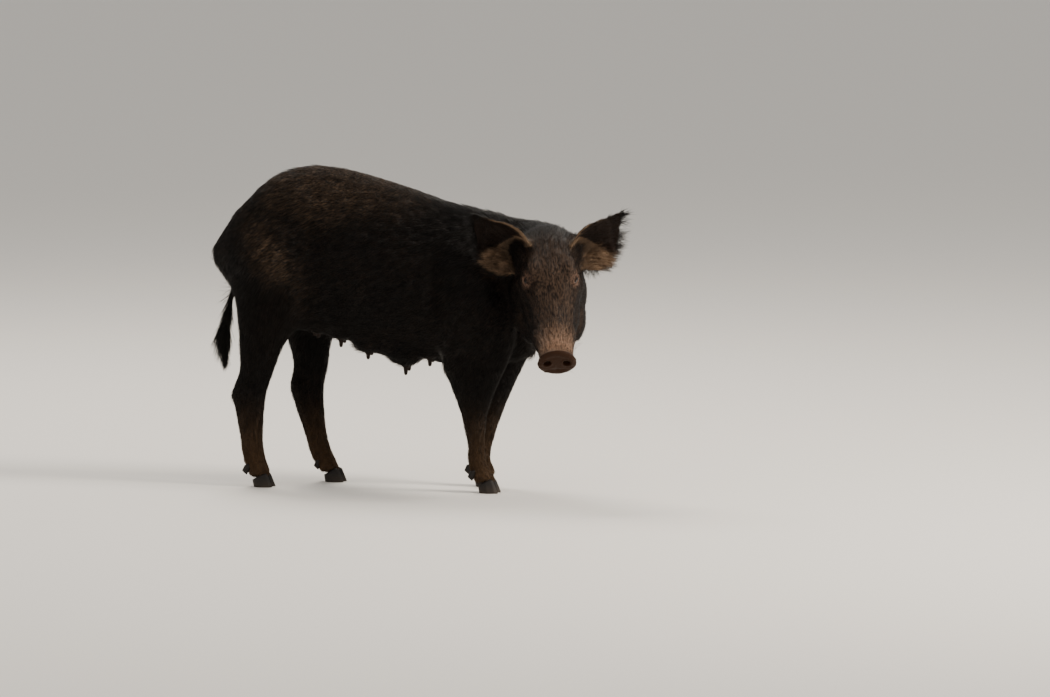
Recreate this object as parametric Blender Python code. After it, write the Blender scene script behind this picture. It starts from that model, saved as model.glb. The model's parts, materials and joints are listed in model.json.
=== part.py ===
"""A lean black sow of feral stock in life size, standing with her head lowered and turned.

Metres, +Z up.  She faces +X, her left side is +Y, and her claws stand flat on z = 0.  The
sizes reach to the tips of her coat.  Her flesh is lofted from cross-sections, merged into
one body, and then parted by thin cuts into the pieces that a person would name.  The claws,
dewclaws and eyes are pieces of their own.  At the end everything is moved so that the origin
lies under the middle of the whole animal.
"""

import math
from typing import NamedTuple

import bmesh
import bpy
from mathutils import Matrix, Vector

# Driving sizes.
GAP = 0.0003  # clearance between neighbouring pieces
GRAIN = 0.0045  # grain of the merged flesh, which rounds the joins
SIDES = 28  # corners of a loft's cross-section
STEPS = 4  # rings worked out between two given cross-sections
FLESH_TRIANGLES = 3350  # triangles left in the merged flesh before it is parted
TAIL_TRIANGLES = 110

# Head: where its back end lies, how it is turned, and its length from there to the snout disc.
HEAD_BASE = Vector((0.4585, -0.027, 0.513))
HEAD_TURN = math.radians(-70.0)  # from straight ahead, to her right
HEAD_DIP = math.radians(39.0)  # below the horizontal
HEAD_ROLL = math.radians(1.5)  # left side up
HEAD_LENGTH = 0.340
EYE_RADIUS = 0.0118
EYE_AT = (0.1310, 0.0440, 0.0440)  # ahead, above and beside the head's base
EYE_GAZE = (0.42, 0.30, 0.86)
EYE_OPENING = (0.0155, 0.0110, 0.0100)  # half sizes of the gap between the lids

# Ears, tail, teats.
EAR_ROOT = (0.045, 0.045, 0.062)
EAR_AXIS = (-0.40, 0.46, 0.73)
EAR_OPENING = (0.90, 0.33, 0.26)
EAR_LENGTH = 0.126
EAR_THICKNESS = 0.008
EAR_STEPS = 2  # rows of faces for each stretch of an ear
TEAT_ROW = 0.045  # half the distance between the two rows
TEAT_LENGTH = 0.022

# Legs.
HIP_HEIGHT = 0.56
SHOULDER_HEIGHT = 0.50
HIND_FOOT = (-0.152, 0.067)  # along and beside the body
FORE_FOOT = (0.338, 0.060)
HIND_BEND = 0.24  # heights at which the legs' lean changes
FORE_BEND = 0.17
HIND_STRIDE = {"right": (0.0, -0.035), "left": (0.250, 0.130)}  # forward leans, as slopes
FORE_STRIDE = {"right": (0.0, -0.015), "left": (0.010, -0.270)}
SIDE_SIGN = {"left": 1.0, "right": -1.0}

# Claws.
CLAW_LENGTH = 0.043
CLAW_WIDTH = 0.0235
CLAW_HEIGHT = 0.024
CLAW_SPREAD = 0.0127  # from the foot's middle to each claw's middle
CLAW_FORWARD = 0.010  # claws ahead of the foot's middle
DEWCLAW_LENGTH = 0.021
DEWCLAW_WIDTH = 0.0135
DEWCLAW_SPREAD = 0.0150
DEWCLAW_BACK = 0.032
DEWCLAW_TIP = 0.030  # height of the dewclaws' tips
DEWCLAW_DIP = math.radians(38)

X, Y, Z = Vector((1, 0, 0)), Vector((0, 1, 0)), Vector((0, 0, 1))


class Section(NamedTuple):
    """A cross-section of a loft: its middle, and how far it reaches each way from there."""

    at: Vector
    above: float
    below: float
    side: float
    power: float = 2.0


class Finish(NamedTuple):
    """A plain finish: its name, its colour as linear red, green and blue, and its roughness."""

    name: str
    colour: tuple
    roughness: float


COAT = Finish("black_bristle_coat", (0.012, 0.010, 0.009), 0.62)
BARE_SKIN = Finish("bare_snout_skin", (0.055, 0.036, 0.030), 0.45)
HORN = Finish("claw_horn", (0.030, 0.024, 0.020), 0.40)
EYE = Finish("eye", (0.020, 0.011, 0.007), 0.08)


def clear_scene():
    """Remove whatever objects the file opens with."""
    for obj in list(bpy.data.objects):
        bpy.data.objects.remove(obj, do_unlink=True)


def material_of(finish):
    """The Principled material for a finish, made once."""
    material = bpy.data.materials.get(finish.name)
    if material is None:
        material = bpy.data.materials.new(finish.name)
        material.use_nodes = True
        shader = material.node_tree.nodes["Principled BSDF"]
        shader.inputs["Base Color"].default_value = (*finish.colour, 1.0)
        shader.inputs["Roughness"].default_value = finish.roughness
        shader.inputs["Metallic"].default_value = 0.0
    return material


def object_from(bm, name):
    """A new object that holds a bmesh, which is freed."""
    mesh = bpy.data.meshes.new(name)
    bm.to_mesh(mesh)
    bm.free()
    obj = bpy.data.objects.new(name, mesh)
    bpy.context.scene.collection.objects.link(obj)
    return obj


def settled_mesh(obj):
    """The object's mesh as its modifiers leave it."""
    graph = bpy.context.evaluated_depsgraph_get()
    graph.update()
    return bpy.data.meshes.new_from_object(obj.evaluated_get(graph), depsgraph=graph)


def apply_modifiers(obj):
    """Settle the object's modifiers into its mesh."""
    mesh = settled_mesh(obj)
    obj.modifiers.clear()
    obj.data = mesh


def head_axes():
    """The head's ahead, above and left directions."""
    turn = Matrix.Rotation(HEAD_TURN, 3, "Z") @ Matrix.Rotation(HEAD_DIP, 3, "Y")
    turn = turn @ Matrix.Rotation(HEAD_ROLL, 3, "X")
    return turn @ X, turn @ Z, turn @ Y


def head_vector(ahead, above, left):
    """A direction given in the head's own axes."""
    a, n, s = head_axes()
    return a * ahead + n * above + s * left


def head_point(ahead, above, left):
    """A point given in the head's own axes, from its base."""
    return HEAD_BASE + head_vector(ahead, above, left)


def between(a, b, c, d, t):
    """The Catmull-Rom value a share t of the way from b to c."""
    return 0.5 * (
        2 * b
        + (c - a) * t
        + (2 * a - 5 * b + 4 * c - d) * t * t
        + (3 * b - a - 3 * c + d) * t * t * t
    )


def eased(values, steps=STEPS):
    """Values along a smooth curve through those given, `steps` for each stretch."""
    padded = [values[0], *values, values[-1]]
    found = [
        between(*padded[i : i + 4], k / steps)
        for i in range(len(values) - 1)
        for k in range(steps)
    ]
    return [*found, values[-1]]


def add_ring(bm, section, ahead, hint):
    """A ring of edges for one section, square to `ahead`, with `hint` as its upper side."""
    across = hint.cross(ahead).normalized()
    above = ahead.cross(across).normalized()
    ring = bmesh.ops.create_circle(bm, segments=SIDES, radius=1.0)["verts"]
    for vert in ring:
        c, s = vert.co.x, vert.co.y
        side = math.copysign(abs(c) ** (2 / section.power), c) * section.side
        reach = section.above if s > 0 else section.below
        rise = math.copysign(abs(s) ** (2 / section.power), s) * reach
        vert.co = section.at + across * side + above * rise
    return list({edge for vert in ring for edge in vert.link_edges})


def loft(sections, hint, facing=None):
    """A closed body through the sections, eased between them, each square to the path.

    Where `facing` is given, every section is square to that direction instead.
    """
    columns = [eased([section[i] for section in sections]) for i in range(5)]
    rings = [Section(*row) for row in zip(*columns)]
    bm = bmesh.new()
    loops = []
    for i, ring in enumerate(rings):
        before, after = rings[max(i - 1, 0)].at, rings[min(i + 1, len(rings) - 1)].at
        loops.append(add_ring(bm, ring, facing or (after - before).normalized(), hint))
    for edges in (loops[0], loops[-1]):
        bmesh.ops.edgeloop_fill(bm, edges=edges)
    for edges, following in zip(loops, loops[1:]):
        bmesh.ops.bridge_loops(bm, edges=edges + following)
    bmesh.ops.recalc_face_normals(bm, faces=bm.faces)
    return object_from(bm, "loft")


def ellipsoid(at, ahead, radii, hint=Z, detail=3):
    """A closed ellipsoid whose radii lie along ahead, across and above."""
    across = hint.cross(ahead).normalized()
    above = ahead.cross(across).normalized()
    turn = Matrix((ahead, across, above)).transposed().to_4x4()
    bm = bmesh.new()
    bmesh.ops.create_icosphere(bm, subdivisions=detail, radius=1.0)
    bmesh.ops.scale(bm, vec=Vector(radii), verts=bm.verts)
    bmesh.ops.transform(bm, matrix=Matrix.Translation(at) @ turn, verts=bm.verts)
    return object_from(bm, "ellipsoid")


def trunk():
    """Barrel of the body: rump, loins, ribs and chest, as x, top, bottom, half width, widest."""
    rows = (
        (-0.288, 0.512, 0.470, 0.018, 0.490),
        (-0.268, 0.534, 0.448, 0.046, 0.486),
        (-0.233, 0.583, 0.412, 0.078, 0.494),
        (-0.191, 0.626, 0.372, 0.099, 0.496),
        (-0.150, 0.661, 0.342, 0.109, 0.500),
        (-0.100, 0.682, 0.330, 0.113, 0.497),
        (-0.040, 0.687, 0.320, 0.116, 0.484),
        (0.030, 0.677, 0.308, 0.124, 0.464),
        (0.100, 0.659, 0.296, 0.130, 0.452),
        (0.170, 0.638, 0.280, 0.128, 0.444),
        (0.230, 0.617, 0.263, 0.121, 0.440),
        (0.290, 0.604, 0.262, 0.110, 0.442),
        (0.345, 0.594, 0.264, 0.098, 0.440),
        (0.395, 0.570, 0.272, 0.082, 0.415),
        (0.430, 0.500, 0.284, 0.056, 0.385),
    )
    sections = [
        Section(Vector((x, 0, wide)), top - wide, wide - bottom, side, 2.15)
        for x, top, bottom, side, wide in rows
    ]
    return loft(sections, Z, X)


def neck():
    """Short deep neck from the chest, bending to her right into the back of the head."""
    rows = (
        ((0.240, 0.000, 0.450), 0.145, 0.150, 0.100),
        ((0.310, 0.000, 0.460), 0.133, 0.148, 0.099),
        ((0.370, 0.000, 0.472), 0.114, 0.142, 0.090),
        ((0.420, -0.005, 0.482), 0.098, 0.128, 0.082),
        ((0.458, -0.035, 0.484), 0.088, 0.116, 0.076),
        ((0.480, -0.085, 0.456), 0.078, 0.098, 0.066),
    )
    return loft([Section(Vector(at), *sizes, 2.1) for at, *sizes in rows], Z)


def head():
    """Long straight wedge of a head: ahead, top, bottom and half width in the head's axes."""
    rows = (
        (-0.035, 0.052, -0.085, 0.046, 2.0),
        (0.000, 0.075, -0.106, 0.070, 2.2),
        (0.040, 0.085, -0.112, 0.075, 2.3),
        (0.085, 0.084, -0.108, 0.074, 2.3),
        (0.125, 0.077, -0.093, 0.069, 2.3),
        (0.165, 0.064, -0.078, 0.062, 2.2),
        (0.210, 0.053, -0.065, 0.056, 2.1),
        (0.260, 0.044, -0.052, 0.045, 2.1),
        (0.300, 0.037, -0.044, 0.036, 2.2),
        (0.322, 0.034, -0.039, 0.036, 2.2),
        (0.332, 0.033, -0.038, 0.0415, 2.1),
        (HEAD_LENGTH, 0.030, -0.036, 0.0395, 2.1),
    )
    _, above, _ = head_axes()
    sections = [
        Section(head_point(s, 0, 0), top, -bottom, side, power)
        for s, top, bottom, side, power in rows
    ]
    return loft(sections, above)


def head_swellings():
    """Jaw muscles, cheek bones and brows, on both sides."""
    ahead, above, _ = head_axes()
    rows = (
        ((0.075, -0.045, 0.047), (0.074, 0.036, 0.058)),
        ((0.140, -0.060, 0.040), (0.076, 0.040, 0.034)),
        ((0.095, 0.006, 0.052), (0.050, 0.022, 0.026)),
        ((0.114, 0.062, 0.039), (0.034, 0.015, 0.016)),
    )
    return [
        ellipsoid(head_point(s, n, side * w), ahead, radii, above)
        for (s, n, w), radii in rows
        for side in SIDE_SIGN.values()
    ]


def lean_at(z, hinge, bend, slopes):
    """How far forward a leg stands at a height, leaning from its hinge and anew from its bend."""
    upper, lower = slopes
    return (hinge - max(z, bend)) * upper + (bend - min(z, bend)) * lower


def leaning(rows, side, hinge, bend, stride):
    """Sections of a leg on one side, leaning by the stride below its hinge height."""
    sections = []
    for x, y, z, above, below, across, power in rows:
        at = Vector((x + lean_at(z, hinge, bend, stride[side]), y * SIDE_SIGN[side], z))
        sections.append(Section(at, above, below, across, power))
    return sections


def hind_leg(side):
    """Thigh, gaskin, hock, cannon and pastern: x, y, z, fore, aft, half width, power."""
    rows = (
        (-0.120, 0.045, 0.620, 0.040, 0.040, 0.030, 2.0),
        (-0.128, 0.058, 0.560, 0.085, 0.085, 0.048, 2.0),
        (-0.127, 0.070, 0.480, 0.108, 0.106, 0.054, 2.0),
        (-0.118, 0.078, 0.405, 0.100, 0.097, 0.046, 2.1),
        (-0.138, 0.078, 0.345, 0.068, 0.070, 0.039, 2.1),
        (-0.158, 0.075, 0.300, 0.052, 0.048, 0.032, 2.1),
        (-0.168, 0.072, 0.250, 0.044, 0.038, 0.027, 2.1),
        (-0.181, 0.070, 0.205, 0.041, 0.040, 0.025, 2.2),
        (-0.179, 0.068, 0.155, 0.032, 0.033, 0.022, 2.1),
        (-0.172, 0.067, 0.095, 0.0245, 0.027, 0.0205, 2.0),
        (-0.166, 0.067, 0.060, 0.025, 0.027, 0.022, 2.0),
        (HIND_FOOT[0] - 0.004, HIND_FOOT[1], 0.034, 0.025, 0.026, 0.0255, 2.2),
        (*HIND_FOOT, 0.019, 0.022, 0.021, 0.0235, 2.4),
    )
    return loft(leaning(rows, side, HIP_HEIGHT, HIND_BEND, HIND_STRIDE), X, -Z)


def fore_leg(side):
    """Shoulder, upper arm, forearm, knee, cannon and pastern, as for the hind leg."""
    rows = (
        (0.225, 0.040, 0.595, 0.030, 0.030, 0.020, 2.0),
        (0.245, 0.068, 0.540, 0.060, 0.055, 0.036, 2.0),
        (0.285, 0.084, 0.450, 0.085, 0.080, 0.042, 2.0),
        (0.320, 0.086, 0.370, 0.090, 0.086, 0.043, 2.1),
        (0.322, 0.082, 0.310, 0.085, 0.078, 0.039, 2.1),
        (0.314, 0.077, 0.262, 0.070, 0.066, 0.033, 2.1),
        (0.311, 0.071, 0.200, 0.044, 0.041, 0.028, 2.1),
        (0.313, 0.066, 0.160, 0.029, 0.030, 0.024, 2.1),
        (0.314, 0.063, 0.130, 0.025, 0.025, 0.0235, 2.2),
        (0.317, 0.061, 0.095, 0.0195, 0.020, 0.0185, 2.1),
        (0.319, 0.059, 0.060, 0.021, 0.021, 0.021, 2.0),
        (FORE_FOOT[0] - 0.005, FORE_FOOT[1], 0.034, 0.025, 0.026, 0.0255, 2.2),
        (*FORE_FOOT, 0.019, 0.022, 0.021, 0.0235, 2.4),
    )
    return loft(leaning(rows, side, SHOULDER_HEIGHT, FORE_BEND, FORE_STRIDE), X, -Z)


def ear_axes(side):
    """An ear's root, and its directions to the tip, out of its opening and to its outer edge."""
    sign = SIDE_SIGN[side]
    root = head_point(EAR_ROOT[0], EAR_ROOT[1], sign * EAR_ROOT[2])
    axis = head_vector(EAR_AXIS[0], EAR_AXIS[1], sign * EAR_AXIS[2]).normalized()
    opening = head_vector(EAR_OPENING[0], EAR_OPENING[1], sign * EAR_OPENING[2])
    opening = (opening - axis * opening.dot(axis)).normalized()
    return root, axis, opening, axis.cross(opening) * sign


def ear(side):
    """Cupped, pointed ear: a shaped sheet given its thickness."""
    root, axis, opening, outward = ear_axes(side)
    inner = eased([0.022, 0.038, 0.046, 0.043, 0.031, 0.015, 0.003], EAR_STEPS)
    outer = eased([0.034, 0.061, 0.068, 0.062, 0.047, 0.025, 0.004], EAR_STEPS)
    cup = eased([0.034, 0.030, 0.022, 0.015, 0.009, 0.004, 0.000], EAR_STEPS)
    last = len(inner) - 1
    bm = bmesh.new()
    grid = bmesh.ops.create_grid(bm, x_segments=last, y_segments=5, size=1.0)
    for vert in grid["verts"]:
        row = round((vert.co.x + 1) / 2 * last)
        share = vert.co.y
        width = (outer if share > 0 else inner)[row]
        along = EAR_LENGTH * (row / last * 1.16 - 0.16)
        rise = cup[row] * (share * share - 0.5)
        vert.co = root + axis * along + outward * (share * width) + opening * rise
    bm.normal_update()
    bmesh.ops.solidify(bm, geom=bm.faces[:], thickness=EAR_THICKNESS)
    bmesh.ops.recalc_face_normals(bm, faces=bm.faces)
    return object_from(bm, f"{side}_ear")


def ear_root(side):
    """The muscle that the ear grows from."""
    root, axis, opening, _ = ear_axes(side)
    at = root - opening * 0.022 - axis * 0.006
    return ellipsoid(at, axis, (0.034, 0.036, 0.024), opening)


def tail():
    """Hanging tail with its brush of long hair."""
    rows = (
        ((-0.252, 0.000, 0.530), 0.015, 0.016),
        ((-0.270, 0.000, 0.505), 0.015, 0.016),
        ((-0.262, 0.000, 0.480), 0.013, 0.014),
        ((-0.248, 0.000, 0.450), 0.011, 0.012),
        ((-0.241, 0.000, 0.425), 0.009, 0.010),
        ((-0.245, 0.000, 0.395), 0.009, 0.010),
        ((-0.253, 0.001, 0.360), 0.010, 0.011),
        ((-0.261, 0.002, 0.325), 0.014, 0.013),
        ((-0.261, 0.002, 0.290), 0.010, 0.011),
        ((-0.260, 0.002, 0.268), 0.005, 0.006),
        ((-0.259, 0.002, 0.252), 0.002, 0.002),
    )
    sections = [Section(Vector(at), depth, depth, width) for at, depth, width in rows]
    body = loft(sections, X, -Z)
    body.name = "tail"
    thin(body, TAIL_TRIANGLES)
    return body


def teats(side):
    """Milk mounds with their teats along one side: x, y, height of the skin, size."""
    sign = SIDE_SIGN[side]
    shift = {"right": 0.0, "left": -0.018}[side]
    rows = (
        (-0.045, 0.018, 0.335, 0.60),
        (0.013, TEAT_ROW, 0.322, 0.75),
        (0.073, TEAT_ROW, 0.306, 1.00),
        (0.156, TEAT_ROW, 0.287, 1.25),
        (0.209, TEAT_ROW, 0.290, 0.70),
    )
    swell = Vector((0.120 + shift / 2, sign * TEAT_ROW, 0.302))
    bodies = [ellipsoid(swell, -Z, (0.023, 0.032, 0.038), X)]
    for x, y, z, size in rows:
        at = Vector((x + shift, sign * y, z))
        down = Vector((0.05, sign * 0.22, -1.0)).normalized()
        length = TEAT_LENGTH * size
        bodies.append(ellipsoid(at, down, (0.022 * size, 0.030 * size, 0.034 * size), X))
        sections = [
            Section(at, 0.012 * size, 0.012 * size, 0.012 * size),
            Section(at + down * length * 0.75, 0.0085, 0.0085, 0.0085),
            Section(at + down * length * 1.25, 0.0065, 0.0065, 0.0065),
            Section(at + down * length * 1.60, 0.0055, 0.0055, 0.0055),
            Section(at + down * length * 1.68, 0.0025, 0.0025, 0.0025),
        ]
        bodies.append(loft(sections, X))
    return bodies


def merged(bodies, tiers, name):
    """One skin round overlapping bodies, smoothed tier by tier.

    Each tier is a number of rounds and the test that picks the places it smooths.
    """
    bm = bmesh.new()
    for body in bodies:
        bm.from_mesh(body.data)
        bpy.data.objects.remove(body, do_unlink=True)
    whole = object_from(bm, name)
    remesh = whole.modifiers.new("merge", "REMESH")
    remesh.mode = "VOXEL"
    remesh.voxel_size = GRAIN
    apply_modifiers(whole)
    bm = bmesh.new()
    bm.from_mesh(whole.data)
    for rounds, picks in tiers:
        chosen = [vert for vert in bm.verts if picks(vert.co)]
        for _ in range(rounds):
            bmesh.ops.smooth_vert(
                bm,
                verts=chosen,
                factor=0.5,
                use_axis_x=True,
                use_axis_y=True,
                use_axis_z=True,
            )
    bm.to_mesh(whole.data)
    bm.free()
    return whole


def thin(obj, triangles):
    """Bring a body down to about this many triangles."""
    faces = sum(len(face.vertices) - 2 for face in obj.data.polygons)
    decimate = obj.modifiers.new("thin", "DECIMATE")
    decimate.ratio = triangles / faces
    apply_modifiers(obj)


BROAD_TIERS = (
    (36, lambda at: at.z > 0.42 and at.x < 0.36),
    (24, lambda at: at.z > 0.33 and at.x < 0.39),
    (7, lambda at: True),
)
FINE_TIERS = ((2, lambda at: True),)


class Block(NamedTuple):
    """A box that parts a piece off: the middle of its cutting face, and its size from there."""

    at: Vector
    out: Vector  # from the cutting face into the part that comes off
    deep: float
    across: Vector
    wide: float  # half size along `across`
    tall: float  # half size along the third direction


FORE_BLOCK = Block(Vector((0.215, 0, 0.45)), X, 0.30, Y, 0.20, 0.30)
HIND_BLOCK = Block(Vector((-0.092, 0, 0.45)), -X, 0.30, Y, 0.20, 0.30)
INNER_THIGH = 0.034  # from the middle of the body to the inner cut of each leg
LEG_REACH = 0.070  # half size across of the block that takes a leg off
HIND_LEVELS = (
    0.440,
    (-0.187, 0.115),
    (("thigh", 0.440), ("gaskin", 0.315), ("hind_cannon", 0.180), ("hind_pastern", 0.072)),
)
FORE_LEVELS = (
    0.283,
    (0.336, 0.101),
    (("forearm", 0.283), ("fore_cannon", 0.112), ("fore_pastern", 0.068)),
)


def block_mesh(block, grow):
    """The block as an object, grown on every face by `grow`."""
    out = block.out.normalized()
    across = (block.across - out * block.across.dot(out)).normalized()
    third = out.cross(across)
    turn = Matrix((out, across, third)).transposed().to_4x4()
    middle = block.at + out * (block.deep / 2)
    size = Vector((block.deep + 2 * grow, 2 * (block.wide + grow), 2 * (block.tall + grow)))
    bm = bmesh.new()
    bmesh.ops.create_cube(bm, size=1.0)
    bmesh.ops.scale(bm, vec=size, verts=bm.verts)
    bmesh.ops.transform(bm, matrix=Matrix.Translation(middle) @ turn, verts=bm.verts)
    return object_from(bm, "block")


def boolean(obj, cutter, operation):
    """Cut an object with a cutter, which stays."""
    modifier = obj.modifiers.new(operation.lower(), "BOOLEAN")
    modifier.operation = operation
    modifier.object = cutter
    modifier.solver = "EXACT"
    apply_modifiers(obj)


def keep_largest(obj):
    """Drop the crumbs that a cut leaves, so that the piece is one solid."""
    bm = bmesh.new()
    bm.from_mesh(obj.data)
    islands = []
    unseen = set(bm.verts)
    while unseen:
        island, front = set(), [next(vert for vert in bm.verts if vert in unseen)]
        while front:
            vert = front.pop()
            if vert in unseen:
                unseen.discard(vert)
                island.add(vert)
                front += [edge.other_vert(vert) for edge in vert.link_edges]
        islands.append(island)
    largest = max(islands, key=len)
    crumbs = [vert for vert in bm.verts if vert not in largest]
    bmesh.ops.delete(bm, geom=crumbs, context="VERTS")
    bm.to_mesh(obj.data)
    bm.free()


def part_off(parent, name, block):
    """Split a piece: what lies in the block becomes a new piece, a gap away from the rest."""
    child = bpy.data.objects.new(name, parent.data.copy())
    bpy.context.scene.collection.objects.link(child)
    for obj, operation, grow in ((child, "INTERSECT", 0.0), (parent, "DIFFERENCE", GAP)):
        cutter = block_mesh(block, grow)
        boolean(obj, cutter, operation)
        bpy.data.objects.remove(cutter, do_unlink=True)
        keep_largest(obj)
    return child


def swelled(obj):
    """A copy of a piece that is larger by the gap all round, to make room for it."""
    bm = bmesh.new()
    bm.from_mesh(obj.data)
    bm.normal_update()
    moves = [(vert, vert.normal * (GAP * 1.3)) for vert in bm.verts]
    for vert, move in moves:
        vert.co += move
    return object_from(bm, "room")


def make_room(obj, guests):
    """Cut room for the guests out of a piece."""
    for guest in guests:
        cutter = swelled(guest)
        boolean(obj, cutter, "DIFFERENCE")
        bpy.data.objects.remove(cutter, do_unlink=True)
        keep_largest(obj)


def claw(name, at, length, width, height, dip=0.0):
    """A pointed claw: its outline on the ground, drawn up and back to its coronet."""
    profile = ((0.0, 1.0, 0.0), (0.92, 0.86, -0.15), (1.02, 0.50, -0.22))
    bm = bmesh.new()
    loops = []
    for rise, scale, back in profile:
        ring = bmesh.ops.create_circle(bm, segments=8, radius=1.0)["verts"]
        for vert in ring:
            ahead, across = vert.co.x, vert.co.y
            pointed = 1.0 - 0.45 * max(ahead, 0.0) ** 1.5
            slope = 1.0 + 0.28 * ahead
            vert.co = Vector(
                (
                    (ahead * scale / 2 + back) * length,
                    across * pointed * scale * width / 2,
                    rise * slope * height,
                )
            )
        loops.append(list({edge for vert in ring for edge in vert.link_edges}))
    for edges in (loops[0], loops[-1]):
        bmesh.ops.edgeloop_fill(bm, edges=edges)
    for edges, following in zip(loops, loops[1:]):
        bmesh.ops.bridge_loops(bm, edges=edges + following)
    bmesh.ops.recalc_face_normals(bm, faces=bm.faces)
    bmesh.ops.triangulate(bm, faces=bm.faces)
    place = Matrix.Translation(at) @ Matrix.Rotation(dip, 4, "Y")
    bmesh.ops.transform(bm, matrix=place, verts=bm.verts)
    return object_from(bm, name)


def claws(side, end, foot):
    """The two claws and two dewclaws of one foot, inner and outer."""
    sign = SIDE_SIGN[side]
    pieces = []
    for place, across in (("inner", -sign), ("outer", sign)):
        y = foot.y * sign + across * CLAW_SPREAD
        sole = Vector((foot.x + CLAW_FORWARD, y, 0.0))
        pieces.append(
            claw(f"{side}_{end}_{place}_claw", sole, CLAW_LENGTH, CLAW_WIDTH, CLAW_HEIGHT)
        )
        y = foot.y * sign + across * DEWCLAW_SPREAD
        tip = Vector((foot.x - DEWCLAW_BACK, y, DEWCLAW_TIP))
        pieces.append(
            claw(
                f"{side}_{end}_{place}_dewclaw",
                tip,
                DEWCLAW_WIDTH * 1.2,
                DEWCLAW_WIDTH,
                DEWCLAW_LENGTH,
                DEWCLAW_DIP,
            )
        )
    return pieces


def eye(side):
    """An eyeball, and the almond-shaped cutter that opens the lids in front of it."""
    ahead, above, _ = head_axes()
    sign = SIDE_SIGN[side]
    at = head_point(EYE_AT[0], EYE_AT[1], sign * EYE_AT[2])
    ball = ellipsoid(at, ahead, (EYE_RADIUS,) * 3, above, detail=2)
    ball.name = f"{side}_eye"
    gaze = head_vector(EYE_GAZE[0], EYE_GAZE[1], sign * EYE_GAZE[2]).normalized()
    along = (ahead - gaze * gaze.dot(ahead)).normalized()
    return ball, ellipsoid(at + gaze * 0.017, along, EYE_OPENING, along.cross(gaze), detail=2)


def head_pieces(flesh):
    """Part off the neck, head, lower jaw and snout, and set the eyes in."""
    ahead, above, left = head_axes()
    block = Block(Vector((0.365, 0, 0.49)), Vector((0.88, 0, 0.47)), 0.50, Y, 0.36, 0.32)
    nape = part_off(flesh, "neck", block)
    block = Block(HEAD_BASE, Vector((0.59, -0.70, -0.40)), 0.45, left, 0.25, 0.25)
    skull = part_off(nape, "head", block)
    mouth = head_vector(-0.27, -0.045, 0.0)
    down = head_vector(0.045, -0.27, 0.0)
    block = Block(head_point(0.200, -0.040, 0.0), down, 0.16, mouth, 0.145, 0.16)
    jaw = part_off(skull, "lower_jaw", block)
    block = Block(head_point(0.250, 0.0, 0.0), ahead, 0.15, left, 0.12, 0.12)
    snout = part_off(skull, "snout", block)
    eyes = []
    for side in SIDE_SIGN:
        ball, opening = eye(side)
        boolean(skull, opening, "DIFFERENCE")
        bpy.data.objects.remove(opening, do_unlink=True)
        make_room(skull, [ball])
        eyes.append(ball)
    return [nape, skull, jaw], snout, eyes


def leg_pieces(flesh, side, top, middle, levels, lean):
    """Part a leg off below its top, and then across at each level, from the top down."""
    names = [f"{side}_{name}" for name, _ in levels]
    out = Vector((lean, 0, -1))
    at = Vector((middle[0], SIDE_SIGN[side] * (INNER_THIGH + LEG_REACH), top))
    block = Block(at, out, top + 0.05, Y, LEG_REACH, middle[1])
    pieces = [part_off(flesh, names[0], block)]
    for name, level in zip(names[1:], [z for _, z in levels][1:]):
        block = Block(Vector((at.x, at.y, level)), -Z, level + 0.05, Y, 0.2, 0.4)
        pieces.append(part_off(pieces[-1], name, block))
    return pieces


def dress(obj, finish):
    """Name the mesh after its object, give it its finish and shade it smooth."""
    obj.data.name = obj.name
    obj.data.materials.clear()
    obj.data.materials.append(material_of(finish))
    obj.data.shade_smooth()
    obj.data.set_sharp_from_angle(angle=math.radians(40))


def centre_on_floor(objects):
    """Move every piece so that the origin is under the middle of them all."""
    corners = [vert.co for obj in objects for vert in obj.data.vertices]
    shift = Vector(
        (
            -(min(c.x for c in corners) + max(c.x for c in corners)) / 2,
            -(min(c.y for c in corners) + max(c.y for c in corners)) / 2,
            0.0,
        )
    )
    for obj in objects:
        obj.data.transform(Matrix.Translation(shift))


def main():
    """Build the sow."""
    clear_scene()
    core = [trunk(), neck(), head(), *head_swellings()]
    for side in SIDE_SIGN:
        core += [hind_leg(side), fore_leg(side)]
    flesh = merged(core, BROAD_TIERS, "barrel")
    finer = [flesh]
    for side in SIDE_SIGN:
        finer += [ear_root(side), *teats(side)]
    flesh = merged(finer, FINE_TIERS, "barrel")
    thin(flesh, FLESH_TRIANGLES)

    grown = [tail(), *(ear(side) for side in SIDE_SIGN)]
    for piece in grown:
        make_room(piece, [flesh])
    coated, snout, eyes = head_pieces(flesh)
    coated += grown
    horn = []
    for side in SIDE_SIGN:
        for end, foot, levels, stride, hinge, bend in (
            ("hind", HIND_FOOT, HIND_LEVELS, HIND_STRIDE, HIP_HEIGHT, HIND_BEND),
            ("fore", FORE_FOOT, FORE_LEVELS, FORE_STRIDE, SHOULDER_HEIGHT, FORE_BEND),
        ):
            step = lean_at(0.0, hinge, bend, stride[side])
            legs = leg_pieces(flesh, side, *levels, step / hinge)
            nails = claws(side, end, Vector((foot[0] + step, foot[1], 0.0)))
            make_room(legs[-1], nails)
            horn += nails
            coated += legs
    coated.append(part_off(flesh, "forequarters", FORE_BLOCK))
    coated.append(part_off(flesh, "hindquarters", HIND_BLOCK))
    coated.append(flesh)

    for pieces, finish in ((coated, COAT), ([snout], BARE_SKIN), (horn, HORN), (eyes, EYE)):
        for piece in pieces:
            dress(piece, finish)
    centre_on_floor([*coated, snout, *horn, *eyes])


main()
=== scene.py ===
"""Looks of a life-size black feral sow, standing with her head lowered and turned to her right.

Metres, +Z up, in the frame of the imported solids.  The solids reach to the tips of her coat.  One
skin is drawn in under them by the depth of the coat and worked finer at the head, and tufts of
bristle are laid over it along the lie of the hair.  Her eyes and claws are pieces of their own.
"""

import json
import logging
import math
from collections.abc import Iterator
from dataclasses import dataclass, field
from enum import Enum

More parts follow.
